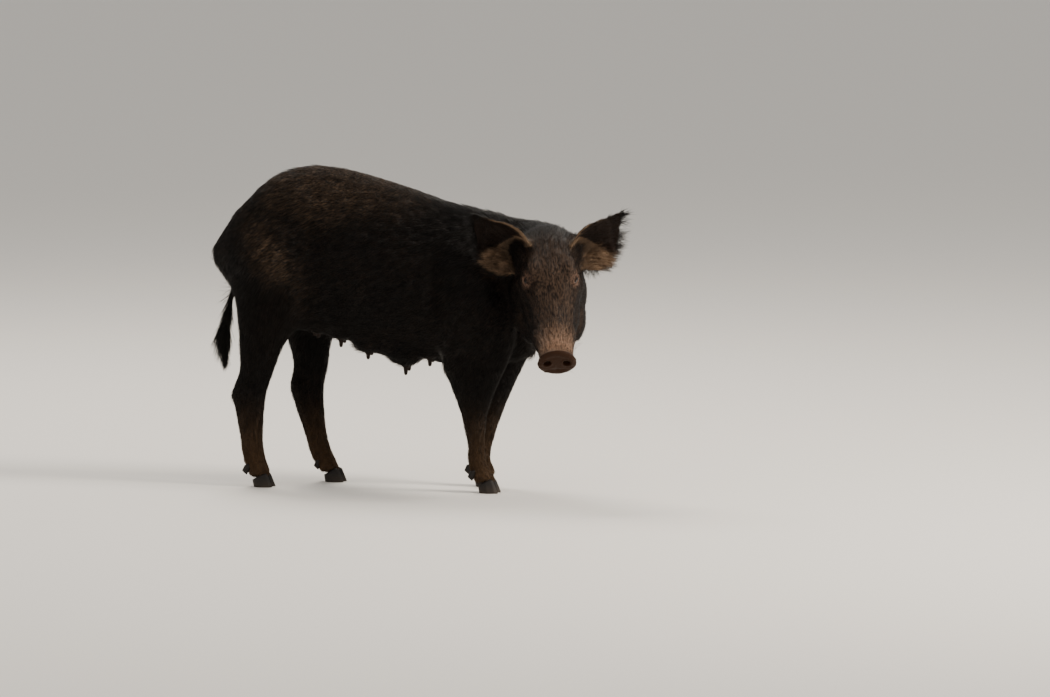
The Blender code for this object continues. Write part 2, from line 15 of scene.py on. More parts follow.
import bmesh
import bpy
import numpy as np
from mathutils import Matrix, Vector
from mathutils.bvhtree import BVHTree
from mathutils.kdtree import KDTree

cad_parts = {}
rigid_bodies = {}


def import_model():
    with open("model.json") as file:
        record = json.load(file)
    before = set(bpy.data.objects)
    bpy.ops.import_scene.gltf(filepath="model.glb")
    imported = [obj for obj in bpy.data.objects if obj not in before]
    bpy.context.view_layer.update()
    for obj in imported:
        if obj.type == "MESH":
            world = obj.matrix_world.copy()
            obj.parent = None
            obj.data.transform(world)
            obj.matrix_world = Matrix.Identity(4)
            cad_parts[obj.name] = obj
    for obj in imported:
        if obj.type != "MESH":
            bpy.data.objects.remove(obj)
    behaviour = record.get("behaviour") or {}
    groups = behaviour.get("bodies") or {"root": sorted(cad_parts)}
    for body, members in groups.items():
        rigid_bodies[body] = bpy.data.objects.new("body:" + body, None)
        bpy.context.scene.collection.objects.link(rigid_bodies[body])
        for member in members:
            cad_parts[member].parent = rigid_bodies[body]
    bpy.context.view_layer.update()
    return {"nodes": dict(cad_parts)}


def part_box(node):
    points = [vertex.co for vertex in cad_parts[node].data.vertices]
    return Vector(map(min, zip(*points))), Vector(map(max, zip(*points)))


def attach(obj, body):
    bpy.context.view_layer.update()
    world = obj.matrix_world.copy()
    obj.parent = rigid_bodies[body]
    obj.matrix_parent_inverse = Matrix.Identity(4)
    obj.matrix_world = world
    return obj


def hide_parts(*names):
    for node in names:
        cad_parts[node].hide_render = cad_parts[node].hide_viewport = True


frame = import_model()
LOG = logging.getLogger("sow")

Array = np.ndarray
Socket = bpy.types.NodeSocket
Pair = tuple[float, float]
Triple = tuple[float, float, float]
SIDES = {"left": 1.0, "right": -1.0}


def on_both(*parts: str) -> tuple[str, ...]:
    """The names of parts that she has on both sides."""
    return tuple(f"{side}_{part}" for part in parts for side in SIDES)


class Region(Enum):
    """A stretch of the body with a skin and coat of its own."""

    TRUNK = ("barrel", "forequarters", "hindquarters")
    NECK = ("neck",)
    HEAD = ("head",)
    JAW = ("lower_jaw",)
    SNOUT = ("snout",)
    EAR = on_both("ear")
    TAIL = ("tail",)
    LEG = on_both("thigh", "gaskin", "forearm")
    SHANK = on_both("hind_cannon", "fore_cannon")
    FOOT = on_both("hind_pastern", "fore_pastern")


REGIONS = list(Region)
FLESH_NODES = [name for region in REGIONS for name in region.value]
BODY = (Region.TRUNK, Region.NECK)
FACE = (Region.HEAD, Region.JAW, Region.SNOUT)
LEGS = (Region.LEG, Region.SHANK, Region.FOOT)


def unit(vectors: Array) -> Array:
    """A vector brought to length one, or each of the vectors in rows."""
    return vectors / np.maximum(np.linalg.norm(vectors, axis=-1, keepdims=True), 1e-12)


def flattened(vectors: Array, normals: Array) -> Array:
    """Vectors with what points along the normals taken out of them."""
    return vectors - normals * (vectors * normals).sum(-1, keepdims=True)


def ramp(values: Array, low: float, high: float) -> Array:
    """A smooth climb from 0 at `low` to 1 at `high`, which may also be the lower of the two."""
    share = np.clip((values - low) / (high - low), 0.0, 1.0)
    return share * share * (3.0 - 2.0 * share)


def bell(values: Array, middle: Array | float, width: float) -> Array:
    """A smooth hump of height 1 at `middle`, which falls to 0.37 at `width` from it."""
    return np.exp(-(((values - middle) / width) ** 2))


def corners_of(node: str) -> tuple[Array, Array]:
    """The lowest and the highest corner of a solid's box."""
    low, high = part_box(node)
    return np.array(low), np.array(high)


def middle_plane() -> float:
    """Where the plane between her two sides lies, across the frame."""
    low, high = corners_of("barrel")
    return (low[1] + high[1]) / 2


def linear(code: str) -> tuple[float, float, float, float]:
    """An sRGB hex colour as linear red, green, blue and alpha.

    Args:
        code: The colour, such as "#1a1512".

    Returns:
        Four numbers that a colour socket takes.
    """
    parts = [int(code[i : i + 2], 16) / 255 for i in (1, 3, 5)]
    lit = [p / 12.92 if p <= 0.04045 else ((p + 0.055) / 1.055) ** 2.4 for p in parts]
    return (lit[0], lit[1], lit[2], 1.0)


def linked(name: str, data: bpy.types.ID) -> bpy.types.Object:
    """A new object at the origin that holds a mesh, a light or a camera."""
    obj = bpy.data.objects.new(name, data)
    bpy.context.scene.collection.objects.link(obj)
    return obj


def object_from(bm: bmesh.types.BMesh, name: str) -> bpy.types.Object:
    """A new object at the origin that holds a bmesh, which is freed.

    Args:
        bm: The shape, in the solids' frame.
        name: The object's name.

    Returns:
        The object, linked to the scene.
    """
    mesh = bpy.data.meshes.new(name)
    bm.to_mesh(mesh)
    bm.free()
    return linked(name, mesh)


def settle(obj: bpy.types.Object) -> None:
    """Apply an object's modifiers to its mesh.

    Args:
        obj: The object, whose mesh is replaced.
    """
    graph = bpy.context.evaluated_depsgraph_get()
    graph.update()
    mesh = bpy.data.meshes.new_from_object(obj.evaluated_get(graph), depsgraph=graph)
    obj.modifiers.clear()
    obj.data = mesh


def dress(obj: bpy.types.Object, material: bpy.types.Material, slot: str, *nodes: str) -> None:
    """Give a piece its finish, and say what it rides on and which solids it stands for.

    Args:
        obj: The piece.
        material: Its finish.
        slot: Not used.
        *nodes: The solids that it stands for, if any.
    """
    obj.data.shade_smooth()
    obj.data.materials.append(material)
    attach(obj, "root")
    if nodes:
        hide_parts(*nodes)
    LOG.info("%s: %d faces", obj.name, len(obj.data.polygons))


# ------------------------------------------------------------
# Where things are on her.


@dataclass(frozen=True)
class HeadFrame:
    """The head's own axes: ahead along the face, above, and to her left, from its back end."""

    turn: float = math.radians(-70.0)
    dip: float = math.radians(39.0)
    roll: float = math.radians(1.5)
    eye_at: Triple = (0.1310, 0.0440, 0.0440)
    eye_radius: float = 0.0118
    gaze: Triple = (0.42, 0.30, 0.86)

    @property
    def axes(self) -> Array:
        """Ahead, above and left, one in each row."""
        turn = Matrix.Rotation(self.turn, 3, "Z") @ Matrix.Rotation(self.dip, 3, "Y")
        turn = turn @ Matrix.Rotation(self.roll, 3, "X")
        return np.array([turn @ Vector(v) for v in ((1, 0, 0), (0, 0, 1), (0, 1, 0))])

    @property
    def base(self) -> Array:
        """The back end of the head's axis, found from her two eyes."""
        corners = [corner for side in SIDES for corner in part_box(f"{side}_eye")]
        middle = np.array(corners).mean(0)
        return middle - np.array([self.eye_at[0], self.eye_at[1], 0.0]) @ self.axes

    def local(self, points: Array) -> Array:
        """Points in the head's own axes: ahead, above and left."""
        return (points - self.base) @ self.axes.T

    def folded(self, points: Array) -> Array:
        """Points in the head's own axes, folded on to the left side."""
        places = self.local(points)
        places[:, 2] = np.abs(places[:, 2])
        return places

    def from_eye(self, places: Array) -> Array:
        """How far folded places are from the middle of the eye."""
        return np.linalg.norm(places - np.array(self.eye_at), axis=1)

    def looks(self, side: str) -> Array:
        """Which way an eye looks, in the solids' frame."""
        return unit(self.direction(np.array(self.gaze) * [1, 1, SIDES[side]]))

    def world(self, points: Array) -> Array:
        """Points given in the head's axes, in the solids' frame."""
        return self.base + np.asarray(points) @ self.axes

    def direction(self, vector: Array) -> Array:
        """Directions given in the head's axes, in the solids' frame."""
        return np.asarray(vector) @ self.axes


@dataclass(frozen=True)
class EarFrame:
    """One ear's root and axes: to the tip, to its outer edge, and out of its opening."""

    head: HeadFrame
    side: str
    root_at: Triple = (0.045, 0.045, 0.062)
    axis_to: Triple = (-0.40, 0.46, 0.73)
    opens_to: Triple = (0.90, 0.33, 0.26)
    length: float = 0.126
    below: float = 0.16  # how much of it, as a share of its length, lies inside the head
    span: float = 0.2  # what lies further from its root isn't shaped or marked as its own
    ridges: float = 0.013  # the distance between the ridges of gristle inside it
    canal: Triple = (0.020, 0.004, -0.010)  # the bottom of its bowl, in its axes
    inner: tuple[float, ...] = (0.022, 0.038, 0.046, 0.043, 0.031, 0.015, 0.003)
    outer: tuple[float, ...] = (0.034, 0.061, 0.068, 0.062, 0.047, 0.025, 0.004)

    def _mirrored(self, vector: Triple) -> Array:
        """A vector in the head's axes, for this side."""
        return np.array([vector[0], vector[1], vector[2] * SIDES[self.side]])

    @property
    def root(self) -> Array:
        """Where the ear leaves the head."""
        return self.head.world(self._mirrored(self.root_at))

    @property
    def axes(self) -> Array:
        """To the tip, to the outer edge and out of the opening, one in each row."""
        axis = unit(self.head.direction(self._mirrored(self.axis_to)))
        opening = unit(flattened(self.head.direction(self._mirrored(self.opens_to)), axis))
        return np.array([axis, np.cross(axis, opening) * SIDES[self.side], opening])

    def local(self, points: Array) -> Array:
        """Points in the ear's own axes."""
        return (points - self.root) @ self.axes.T

    def half_width(self, along: Array, outward: bool) -> Array:
        """How far the ear reaches from its axis to one edge.

        Args:
            along: Distances from the root towards the tip.
            outward: Whether the outer edge is meant, or the inner one.

        Returns:
            The reach at each distance.
        """
        rows = self.outer if outward else self.inner
        share = (np.asarray(along) / self.length + self.below) / (1 + self.below)
        return np.interp(share, np.linspace(0, 1, len(rows)), rows)


class Surface:
    """A mesh's points, edges and normals as arrays, with what moves and averages them."""

    def __init__(self, obj: bpy.types.Object) -> None:
        """Read an object's mesh.

        Args:
            obj: The object, at the origin.
        """
        self.mesh = obj.data
        self.points = self._read(self.mesh.vertices, "co", 3)
        self.edges = self._read(self.mesh.edges, "vertices", 2, np.int32)
        self.degree = np.maximum(np.bincount(self.edges.ravel(), minlength=len(self.points)), 1)

    @staticmethod
    def _read(
        items: bpy.types.bpy_prop_collection, name: str, width: int, kind: type = np.float32
    ) -> Array:
        """A property of many items as an array.

        Args:
            items: Points, edges or the like.
            name: The property.
            width: How many numbers it has.
            kind: What type they are.

        Returns:
            The numbers, with a row for each item.
        """
        values = np.empty(len(items) * width, kind)
        items.foreach_get(name, values)
        values = values.reshape(-1, width)
        return values.astype(np.float64) if kind is np.float32 else values

    def average(self, values: Array) -> Array:
        """The mean of each point's neighbours.

        Args:
            values: One row for each point.

        Returns:
            The means, in the same order.
        """
        a, b = self.edges.T
        count = len(self.points)
        total = [
            np.bincount(a, column[b], count) + np.bincount(b, column[a], count)
            for column in values.reshape(count, -1).T
        ]
        return (np.array(total).T / self.degree[:, None]).reshape(values.shape)

    def soften(self, values: Array, rounds: int) -> Array:
        """Values spread over the surface, a round for each ring of neighbours."""
        for _ in range(rounds):
            values = 0.5 * (values + self.average(values))
        return values

    def smooth(self, rounds: int, weights: Array | float = 1.0) -> None:
        """Smooth the points without drawing the shape in.

        Args:
            rounds: How many times.
            weights: How strongly each point is smoothed, from 0 to 1.
        """
        weights = np.broadcast_to(weights, len(self.points))[:, None]
        for _ in range(rounds):
            for share in (0.55, -0.56):
                self.points += share * weights * (self.average(self.points) - self.points)

    def write(self) -> None:
        """Put the points back into the mesh."""
        self.mesh.vertices.foreach_set("co", self.points.astype(np.float32).ravel())
        self.mesh.update()

    def normals(self) -> Array:
        """The normal at each point, after the points are written back."""
        self.write()
        return self._read(self.mesh.vertex_normals, "vector", 3)

    def triangles(self) -> tuple[Array, Array]:
        """Each triangle's points and its corners' loops."""
        self.mesh.calc_loop_triangles()
        found = self.mesh.loop_triangles
        return self._read(found, "vertices", 3, np.int32), self._read(found, "loops", 3, np.int32)

    def store(self, name: str, values: Array) -> None:
        """Keep one number for each point as an attribute that the materials read."""
        layer = self.mesh.attributes.new(name, "FLOAT", "POINT")
        layer.data.foreach_set("value", values.astype(np.float32))


# ------------------------------------------------------------
# The skin.


@dataclass(frozen=True)
class Push:
    """A soft move of the skin round one place, made alike on both sides of her."""

    at: Triple
    reach: Triple
    move: Triple

    def moves(self, places: Array) -> Array:
        """The move at each place, in the frame of the push and folded on to its left side."""
        far = (((places - np.array(self.at)) / np.array(self.reach)) ** 2).sum(1)
        return np.clip(1.0 - far, 0.0, 1.0)[:, None] ** 2 * np.array(self.move)


HEAD_PUSHES = (
    Push((0.114, 0.066, 0.039), (0.040, 0.024, 0.024), (0.0, 0.0045, 0.0030)),  # brow
    Push((0.085, 0.028, 0.068), (0.034, 0.026, 0.030), (0.0, 0.0, -0.0065)),  # temple
    Push((0.153, 0.045, 0.049), (0.026, 0.018, 0.024), (0.0, -0.001, -0.0035)),  # in front of the eye
    Push((0.185, 0.062, 0.000), (0.060, 0.034, 0.040), (0.0, -0.0045, 0.0)),  # dished face
    Push((0.245, 0.048, 0.000), (0.070, 0.030, 0.018), (0.0, 0.0025, 0.0)),  # nose bone
    Push((0.205, 0.016, 0.056), (0.070, 0.018, 0.024), (0.0, 0.0, -0.0050)),  # furrow below it
    Push((0.200, -0.012, 0.058), (0.045, 0.014, 0.020), (0.0, 0.0, 0.0030)),  # cheekbone's end
    Push((0.250, -0.026, 0.042), (0.050, 0.016, 0.022), (0.0, 0.0, 0.0028)),  # upper lip
    Push((0.105, -0.030, 0.076), (0.070, 0.045, 0.030), (0.0, 0.0, 0.0035)),  # jaw muscle
    Push((0.156, -0.022, 0.064), (0.020, 0.035, 0.024), (0.0, 0.0, -0.0040)),  # in front of it
    Push((0.120, 0.008, 0.070), (0.034, 0.010, 0.026), (0.0, 0.0, 0.0025)),  # cheekbone
    Push((0.090, -0.098, 0.030), (0.060, 0.020, 0.040), (0.0, 0.0035, 0.0)),  # between the jaws
    Push((0.300, -0.046, 0.000), (0.030, 0.020, 0.040), (-0.004, 0.0045, 0.0)),  # chin
    Push((0.030, 0.094, 0.000), (0.045, 0.025, 0.030), (0.0, 0.0030, 0.0)),  # poll
    Push((0.095, 0.082, 0.000), (0.050, 0.020, 0.014), (0.0, -0.0022, 0.0)),  # forehead furrow
)
BODY_PUSHES = (
    Push((-0.205, 0.118, 0.540), (0.080, 0.060, 0.075), (0.0, -0.013, 0.0)),  # flank hollow
    Push((-0.240, 0.088, 0.612), (0.050, 0.050, 0.045), (0.0, 0.005, 0.006)),  # hip bone
    Push((0.175, 0.110, 0.480), (0.050, 0.060, 0.110), (0.0, 0.007, 0.0)),  # shoulder blade
    Push((0.135, 0.115, 0.380), (0.050, 0.060, 0.060), (0.0, 0.006, 0.0)),  # upper arm
    Push((0.070, 0.130, 0.430), (0.032, 0.060, 0.110), (0.0, -0.010, 0.0)),  # behind the shoulder
    Push((-0.405, 0.000, 0.420), (0.080, 0.024, 0.120), (0.026, 0.0, 0.0)),  # between the hams
    Push((-0.330, 0.115, 0.470), (0.070, 0.060, 0.090), (0.0, 0.006, 0.0)),  # ham
    Push((-0.405, 0.070, 0.400), (0.040, 0.050, 0.080), (-0.005, 0.0, 0.0)),  # back of the ham
    Push((-0.385, 0.105, 0.360), (0.030, 0.050, 0.120), (0.0, -0.006, 0.0)),  # furrow down the ham
    Push((-0.160, 0.120, 0.400), (0.050, 0.050, 0.060), (0.0, -0.011, 0.0)),  # flank fold
    Push((-0.195, 0.110, 0.350), (0.030, 0.050, 0.060), (0.0, 0.004, 0.0)),  # stifle
    Push((-0.100, 0.000, 0.690), (0.300, 0.022, 0.060), (0.0, 0.0, 0.002)),  # spine
    Push((-0.100, 0.034, 0.690), (0.260, 0.020, 0.060), (0.0, 0.0, -0.002)),  # beside it
)


@dataclass(frozen=True)
class LegPush:
    """A soft move at a place given as shares of a leg solid's box, from its lowest corner."""

    part: str
    share: Triple
    reach: float
    move: Triple

    def moves(self, points: Array) -> Array:
        """The move at each point of the skin, on both of the legs.

        Args:
            points: The skin's points.

        Returns:
            One move for each of them.
        """
        total = np.zeros_like(points)
        for side, sign in SIDES.items():
            low, high = corners_of(f"{side}_{self.part}")
            share = np.array(self.share)
            if sign < 0:
                share[1] = 1 - share[1]
            far = np.linalg.norm(points - low - share * (high - low), axis=1) / self.reach
            move = np.array(self.move) * [1, sign, 1]
            total += np.clip(1 - far * far, 0, 1)[:, None] ** 2 * move
        return total


LEG_PUSHES = (
    LegPush("gaskin", (0.05, 0.5, 0.10), 0.024, (-0.0045, 0.0, 0.0)),  # point of the hock
    LegPush("gaskin", (0.35, 0.9, 0.28), 0.026, (0.0, -0.0045, 0.0)),  # hollow before the tendon
    LegPush("gaskin", (0.35, 0.1, 0.28), 0.026, (0.0, 0.0045, 0.0)),  # the same on its inner side
    LegPush("forearm", (0.45, 0.6, 0.02), 0.026, (0.0035, 0.0, 0.0)),  # knee
    LegPush("forearm", (0.40, 0.9, 0.62), 0.036, (0.0, 0.0045, 0.0)),  # forearm muscle
    LegPush("forearm", (0.20, 0.5, 0.92), 0.034, (-0.0070, 0.0, 0.0)),  # elbow
    LegPush("fore_cannon", (0.2, 0.5, 0.2), 0.020, (-0.0020, 0.0, 0.0)),  # fore fetlock
    LegPush("hind_cannon", (0.2, 0.5, 0.1), 0.022, (-0.0025, 0.0, 0.0)),  # hind fetlock
)


@dataclass
class Lids:
    """The almond gap between an eye's lids, how the lids lie, and their moist margins."""

    head: HeadFrame
    half_length: float = 0.0112
    half_height: float = 0.0056
    lower: float = 0.80  # the lower lid's height against the upper one's
    slant: float = -0.14  # how far the gap drops towards the snout
    lid: float = 0.0013  # how far the lids stand off the eyeball
    reach: Pair = (0.0125, 0.0200)  # over which the lids run out into the face
    margin: float = 0.0009
    margin_points: int = 56  # how many circles a margin is drawn through

    def axes(self) -> Array:
        """Along the gap, up, and out of the eye, in the head's axes for her left side."""
        out = unit(np.array(self.head.gaze))
        along = unit(flattened(np.array([1.0, 0.0, 0.0]), out))
        up = np.cross(out, along)
        return np.array([along, up * np.sign(up[1]), out])

    def close(self, places: Array) -> Array:
        """Draw the skin round the eyeball, with a pocket behind it.

        Args:
            places: Points in the head's axes, folded on to the left side.

        Returns:
            The same points with the lids formed.
        """
        axes = self.axes()
        x, y, z = ((places - np.array(self.head.eye_at)) @ axes.T).T
        radius = self.head.eye_radius
        across = y + self.slant * x
        height = self.half_height * np.where(across > 0, 1.0, self.lower)
        gap = ((np.abs(across) / height) ** 1.15 + (x / self.half_length) ** 2) ** 0.62
        far = np.hypot(x, y)
        flat = np.sqrt(np.clip(1.0 - (far / (2.1 * radius)) ** 2, 0.05, 1.0))
        depth = np.interp(
            gap,
            (0.0, 0.86, 0.98, 1.10, 1.40, 1.75, 2.1),
            (-0.0040, -0.0030, -0.0004, 0.0004, self.lid, 0.0007, 0.0011),
        )
        share = (1.0 - ramp(far, *self.reach)) * (z > 0)
        crease = bell(gap, 1.78, 0.16) + 0.6 * bell(gap, 2.35, 0.18)
        target = (radius + depth) * flat - 0.0010 * crease * np.where(across > 0, 1.0, 0.6)
        moved = np.stack([x, y, z + share * (target - z)], 1)
        return moved @ axes + np.array(self.head.eye_at)

    def edge(self, side: str, turns: Array, stand: float) -> tuple[Array, Array]:
        """Places along the lids' edges, and the way out of the gap at each.

        Args:
            side: "left" or "right".
            turns: Places round the gap from 0 to 1, from the front corner over the upper lid.
            stand: How far off the eyeball they are.

        Returns:
            The places and the directions, in the solids' frame.
        """
        angle = turns * 2 * math.pi
        x = self.half_length * np.cos(angle)
        height = np.where(np.sin(angle) > 0, 1.0, -self.lower) * self.half_height
        across = height * np.clip(1 - (x / self.half_length) ** 2, 0, 1) ** (1 / 1.15)
        y = across - self.slant * x
        radius = self.head.eye_radius + stand
        z = np.sqrt(radius**2 - x * x - y * y)
        axes = self.axes()
        outward = unit(np.stack([0.35 * x, y, np.zeros_like(x)], 1))
        mirror = np.array([1.0, 1.0, SIDES[side]])
        places = np.stack([x, y, z], 1) @ axes + np.array(self.head.eye_at)
        return self.head.world(places * mirror), self.head.direction((outward @ axes) * mirror)

    def build(self, material: bpy.types.Material) -> None:
        """Make the moist margins along the edges of both eyes' lids.

        Args:
            material: Their finish.
        """
        for side in SIDES:
            turns = np.arange(self.margin_points) / self.margin_points
            centres, _ = self.edge(side, turns, 0.0003)
            bm = bmesh.new()
            rings = []
            for i, centre in enumerate(centres):
                way = Vector(centres[(i + 1) % len(centres)] - centres[i - 1])
                narrow = 0.75 + 0.25 * abs(math.sin(turns[i] * 2 * math.pi))
                place = Matrix.Translation(centre) @ way.to_track_quat("Z", "Y").to_matrix().to_4x4()
                made = bmesh.ops.create_circle(
                    bm, segments=8, radius=self.margin * narrow, matrix=place
                )
                rings.append({edge for vert in made["verts"] for edge in vert.link_edges})
            for i, ring in enumerate(rings):
                bmesh.ops.bridge_loops(bm, edges=list(ring | rings[(i + 1) % len(rings)]))
            bmesh.ops.recalc_face_normals(bm, faces=bm.faces)
            dress(object_from(bm, f"{side}_lid_margin"), material, "snout_skin")


@dataclass
class Teats:
    """Her teats in two rows: nipples on low mounds, drawn down to where the solids end."""

    rows: tuple[Triple, ...] = (  # along, beside, height of the tip
        (-0.2185, 0.018, 0.3170),
        (-0.1605, 0.045, 0.3000),
        (-0.1005, 0.045, 0.2755),
        (-0.0175, 0.045, 0.2440),
        (0.0355, 0.045, 0.2640),
    )
    left_behind: float = 0.018  # the left row stands a little further back
    radius: float = 0.0042
    mound: float = 0.017  # how far from a nipple its mound begins
    bare: Pair = (0.007, 0.016)  # over which the bare skin ends
    nipple: float = 0.012  # the least length of one
    least_rise: float = 0.004  # of a mound
    band: Pair = (-0.03, 0.05)  # heights over a tip at which points may be a teat's

    def places(self) -> list[Triple]:
        """Each nipple's place across the belly, and the height of its tip."""
        return [
            (along - (self.left_behind if sign > 0 else 0.0), middle_plane() + sign * beside, tip)
            for along, beside, tip in self.rows
            for sign in SIDES.values()
        ]

    def _around(self, points: Array) -> Iterator[tuple[Triple, Array, Array]]:
        """Go from nipple to nipple.

        Args:
            points: The skin's points.

        Yields:
            The nipple's place, how far the points are from it, and which are at its height.
        """
        for place in self.places():
            far = np.hypot(points[:, 0] - place[0], points[:, 1] - place[1])
            above = points[:, 2] - place[2]
            yield place, far, (above > self.band[0]) & (above < self.band[1])

    def near(self, points: Array, reach: float) -> Array:
        """Whether each point is within reach of a teat, on the underside."""
        return np.any([level & (far < reach) for _, far, level in self._around(points)], axis=0)

    def mark(self, points: Array) -> Array:
        """How much of each point is bare teat."""
        shares = [level * (1 - ramp(far, *self.bare)) for _, far, level in self._around(points)]
        return np.max(shares, axis=0)

    def draw_down(self, points: Array) -> Array:
        """Draw the nipples down out of the belly.

        Args:
            points: The skin's points.

        Returns:
            The same points with the nipples formed.
        """
        for (x, y, tip), far, under in self._around(points):
            edge = self.mound + 0.002
            level = points[under & (far > self.mound - 0.004) & (far < self.mound), 2].mean()
            near = under & (far < edge)
            r = far[near]
            rise = max(self.least_rise, 0.45 * (level - tip - self.nipple))
            dome = level - rise * np.clip(1 - (r / self.mound) ** 2, 0, 1) ** 1.5
            share = 1 - ramp(r, self.mound - 0.004, edge)
            z = points[near, 2] * (1 - share) + dome * share
            profile = np.interp(
                r / self.radius,
                (0.0, 0.35, 0.70, 1.0, 1.45, 1.9, 2.5),
                (1.0, 0.985, 0.93, 0.80, 0.30, 0.07, 0.0),
            )
            squeeze = np.interp(
                r / self.radius,
                (0.0, 0.70, 1.0, 1.45, 1.9, 2.6, 4.5),
                (1.0, 1.0, 0.93, 0.74, 0.80, 0.96, 1.0),
            )
            points[near, 2] = z - (level - rise - tip) * profile
            points[near, :2] = [x, y] + (points[near, :2] - [x, y]) * squeeze[:, None]
        return points


@dataclass
class Snout:
    """The rooting disc: its rim, nostrils and wrinkles, and the mouth below it."""

    disc: float = 0.340  # the disc's place along the head
    middle: float = -0.003  # the disc's middle, above the head's axis
    disc_size: Pair = (0.0335, 0.0395)
    nostril: Pair = (0.0000, 0.0205)  # above the head's axis, and beside it
    nostril_size: Pair = (0.0068, 0.0080)
    nostril_depth: float = 0.016
    wrinkle: float = 0.0095  # the distance between wrinkles
    reach: float = 0.12  # no point of it is further from the head's axis
    mouth: tuple[Pair, ...] = ((0.180, -0.030), (0.200, -0.038), (0.330, -0.0265))

    def shape(self, places: Array, normals: Array) -> Array:
        """Form the disc, nostrils, wrinkles and mouth.

        Args:
            places: Points in the head's axes, folded on to the left side.
            normals: Their normals in the same axes.

        Returns:
            The same points, moved.
        """
        ahead, front = places[:, 0], normals[:, 0]
        moved = self._round_off(places)
        outward = unit(moved * [0, 1, 1])
        moved += outward * self._rim(ahead, front)[:, None]
        moved += outward * self._wrinkles(ahead, moved[:, 1])[:, None]
        moved[:, 0] -= self._sink(ahead, moved[:, 1], moved[:, 2], front)
        moved += normals * self._mouth(ahead, moved[:, 1])[:, None]
        return moved

    def _rim(self, ahead: Array, front: Array) -> Array:
        """How far the disc's rim stands out, and the groove behind it in."""
        rim = bell(ahead, self.disc - 0.006, 0.005) * (1 - ramp(front, 0.5, 0.95))
        return 0.0026 * rim - 0.0020 * bell(ahead, self.disc - 0.020, 0.007)

    def _wrinkles(self, ahead: Array, above: Array) -> Array:
        """How far the wrinkles over the nose stand out."""
        wave = np.cos((ahead - self.disc) / self.wrinkle * 2 * math.pi)
        band = ramp(ahead, 0.262, 0.292) * ramp(ahead, 0.325, 0.315) * ramp(above, -0.02, 0.01)
        return 0.0005 * wave * band

    def _sink(self, ahead: Array, above: Array, beside: Array, front: Array) -> Array:
        """How far the disc's face goes in, at its dish, its notch and its nostrils.

        Args:
            ahead: How far ahead each place is.
            above: How far above the head's axis it is.
            beside: How far beside the axis it is.
            front: How much the skin there faces ahead.

        Returns:
            The depths.
        """
        on_disc = ramp(front, 0.45, 0.8) * ramp(ahead, self.disc - 0.016, self.disc - 0.010)
        radius = np.hypot((above - self.middle) / self.disc_size[0], beside / self.disc_size[1])
        dish = 0.0022 * (1 - ramp(radius, 0.55, 0.85)) - 0.0008 * bell(radius, 0.9, 0.1)
        notch = 0.0015 * bell(beside, 0.0, 0.004) * ramp(-above, 0.0, 0.02)
        up, out = above - self.nostril[0], beside - self.nostril[1]
        tall, wide = up * 0.94 + out * 0.34, out * 0.94 - up * 0.34  # turned by 20 degrees
        hole = np.hypot(tall / self.nostril_size[0], wide / self.nostril_size[1])
        well = self.nostril_depth * (1 - ramp(hole, 0.45, 1.15))
        return on_disc * (dish + notch + well - 0.0009 * bell(hole, 1.35, 0.25))

    def _mouth(self, ahead: Array, above: Array) -> Array:
        """How far the lips stand out, and the line between them in."""
        line = np.interp(ahead, *np.array(self.mouth).T)
        groove = bell(above, line, 0.0020) * ramp(ahead, 0.178, 0.196) * ramp(ahead, 0.330, 0.318)
        lip = bell(above, line - 0.006, 0.005) * ramp(ahead, 0.20, 0.25) * ramp(ahead, 0.325, 0.305)
        return 0.0012 * lip - 0.0032 * groove

    def _round_off(self, places: Array) -> Array:
        """Bring the outline of the disc to a true ellipse.

        Args:
            places: Points in the head's axes, folded on to the left side.

        Returns:
            The same points, moved.
        """
        up = (places[:, 1] - self.middle) / self.disc_size[0]
        out = places[:, 2] / self.disc_size[1]
        turn, reach = np.arctan2(up, out), np.hypot(up, out)
        near = (places[:, 0] > self.disc - 0.014) & (reach < 1.6)
        stops = np.linspace(-math.pi / 2, math.pi / 2, 41)
        window = 0.07  # a little less than the angle from one stop to the next
        found = [reach[near & (np.abs(turn - at) < window)].max(initial=0.7) for at in stops]
        share = ramp(places[:, 0], self.disc - 0.036, self.disc - 0.014) * (reach < 2.0)
        scale = 1 + share * (1 / np.interp(turn, stops, found) - 1)
        moved = places.copy()
        moved[:, 1] = self.middle + (places[:, 1] - self.middle) * scale
        moved[:, 2] = places[:, 2] * scale
        return moved


@dataclass(frozen=True)
class Cover:
    """How deep the coat lies over a region, and how much the solids' facets are smoothed there."""

    depth: float
    smoothing: float


COVERS = {
    Region.TRUNK: Cover(0.0060, 1.0),
    Region.NECK: Cover(0.0065, 0.9),
    Region.HEAD: Cover(0.0035, 0.45),
    Region.JAW: Cover(0.0035, 0.45),
    Region.SNOUT: Cover(0.0010, 0.50),
    Region.EAR: Cover(0.0024, 0.50),
    Region.TAIL: Cover(0.0050, 0.30),
    Region.LEG: Cover(0.0040, 0.50),
    Region.SHANK: Cover(0.0026, 0.40),
    Region.FOOT: Cover(0.0022, 0.30),
}


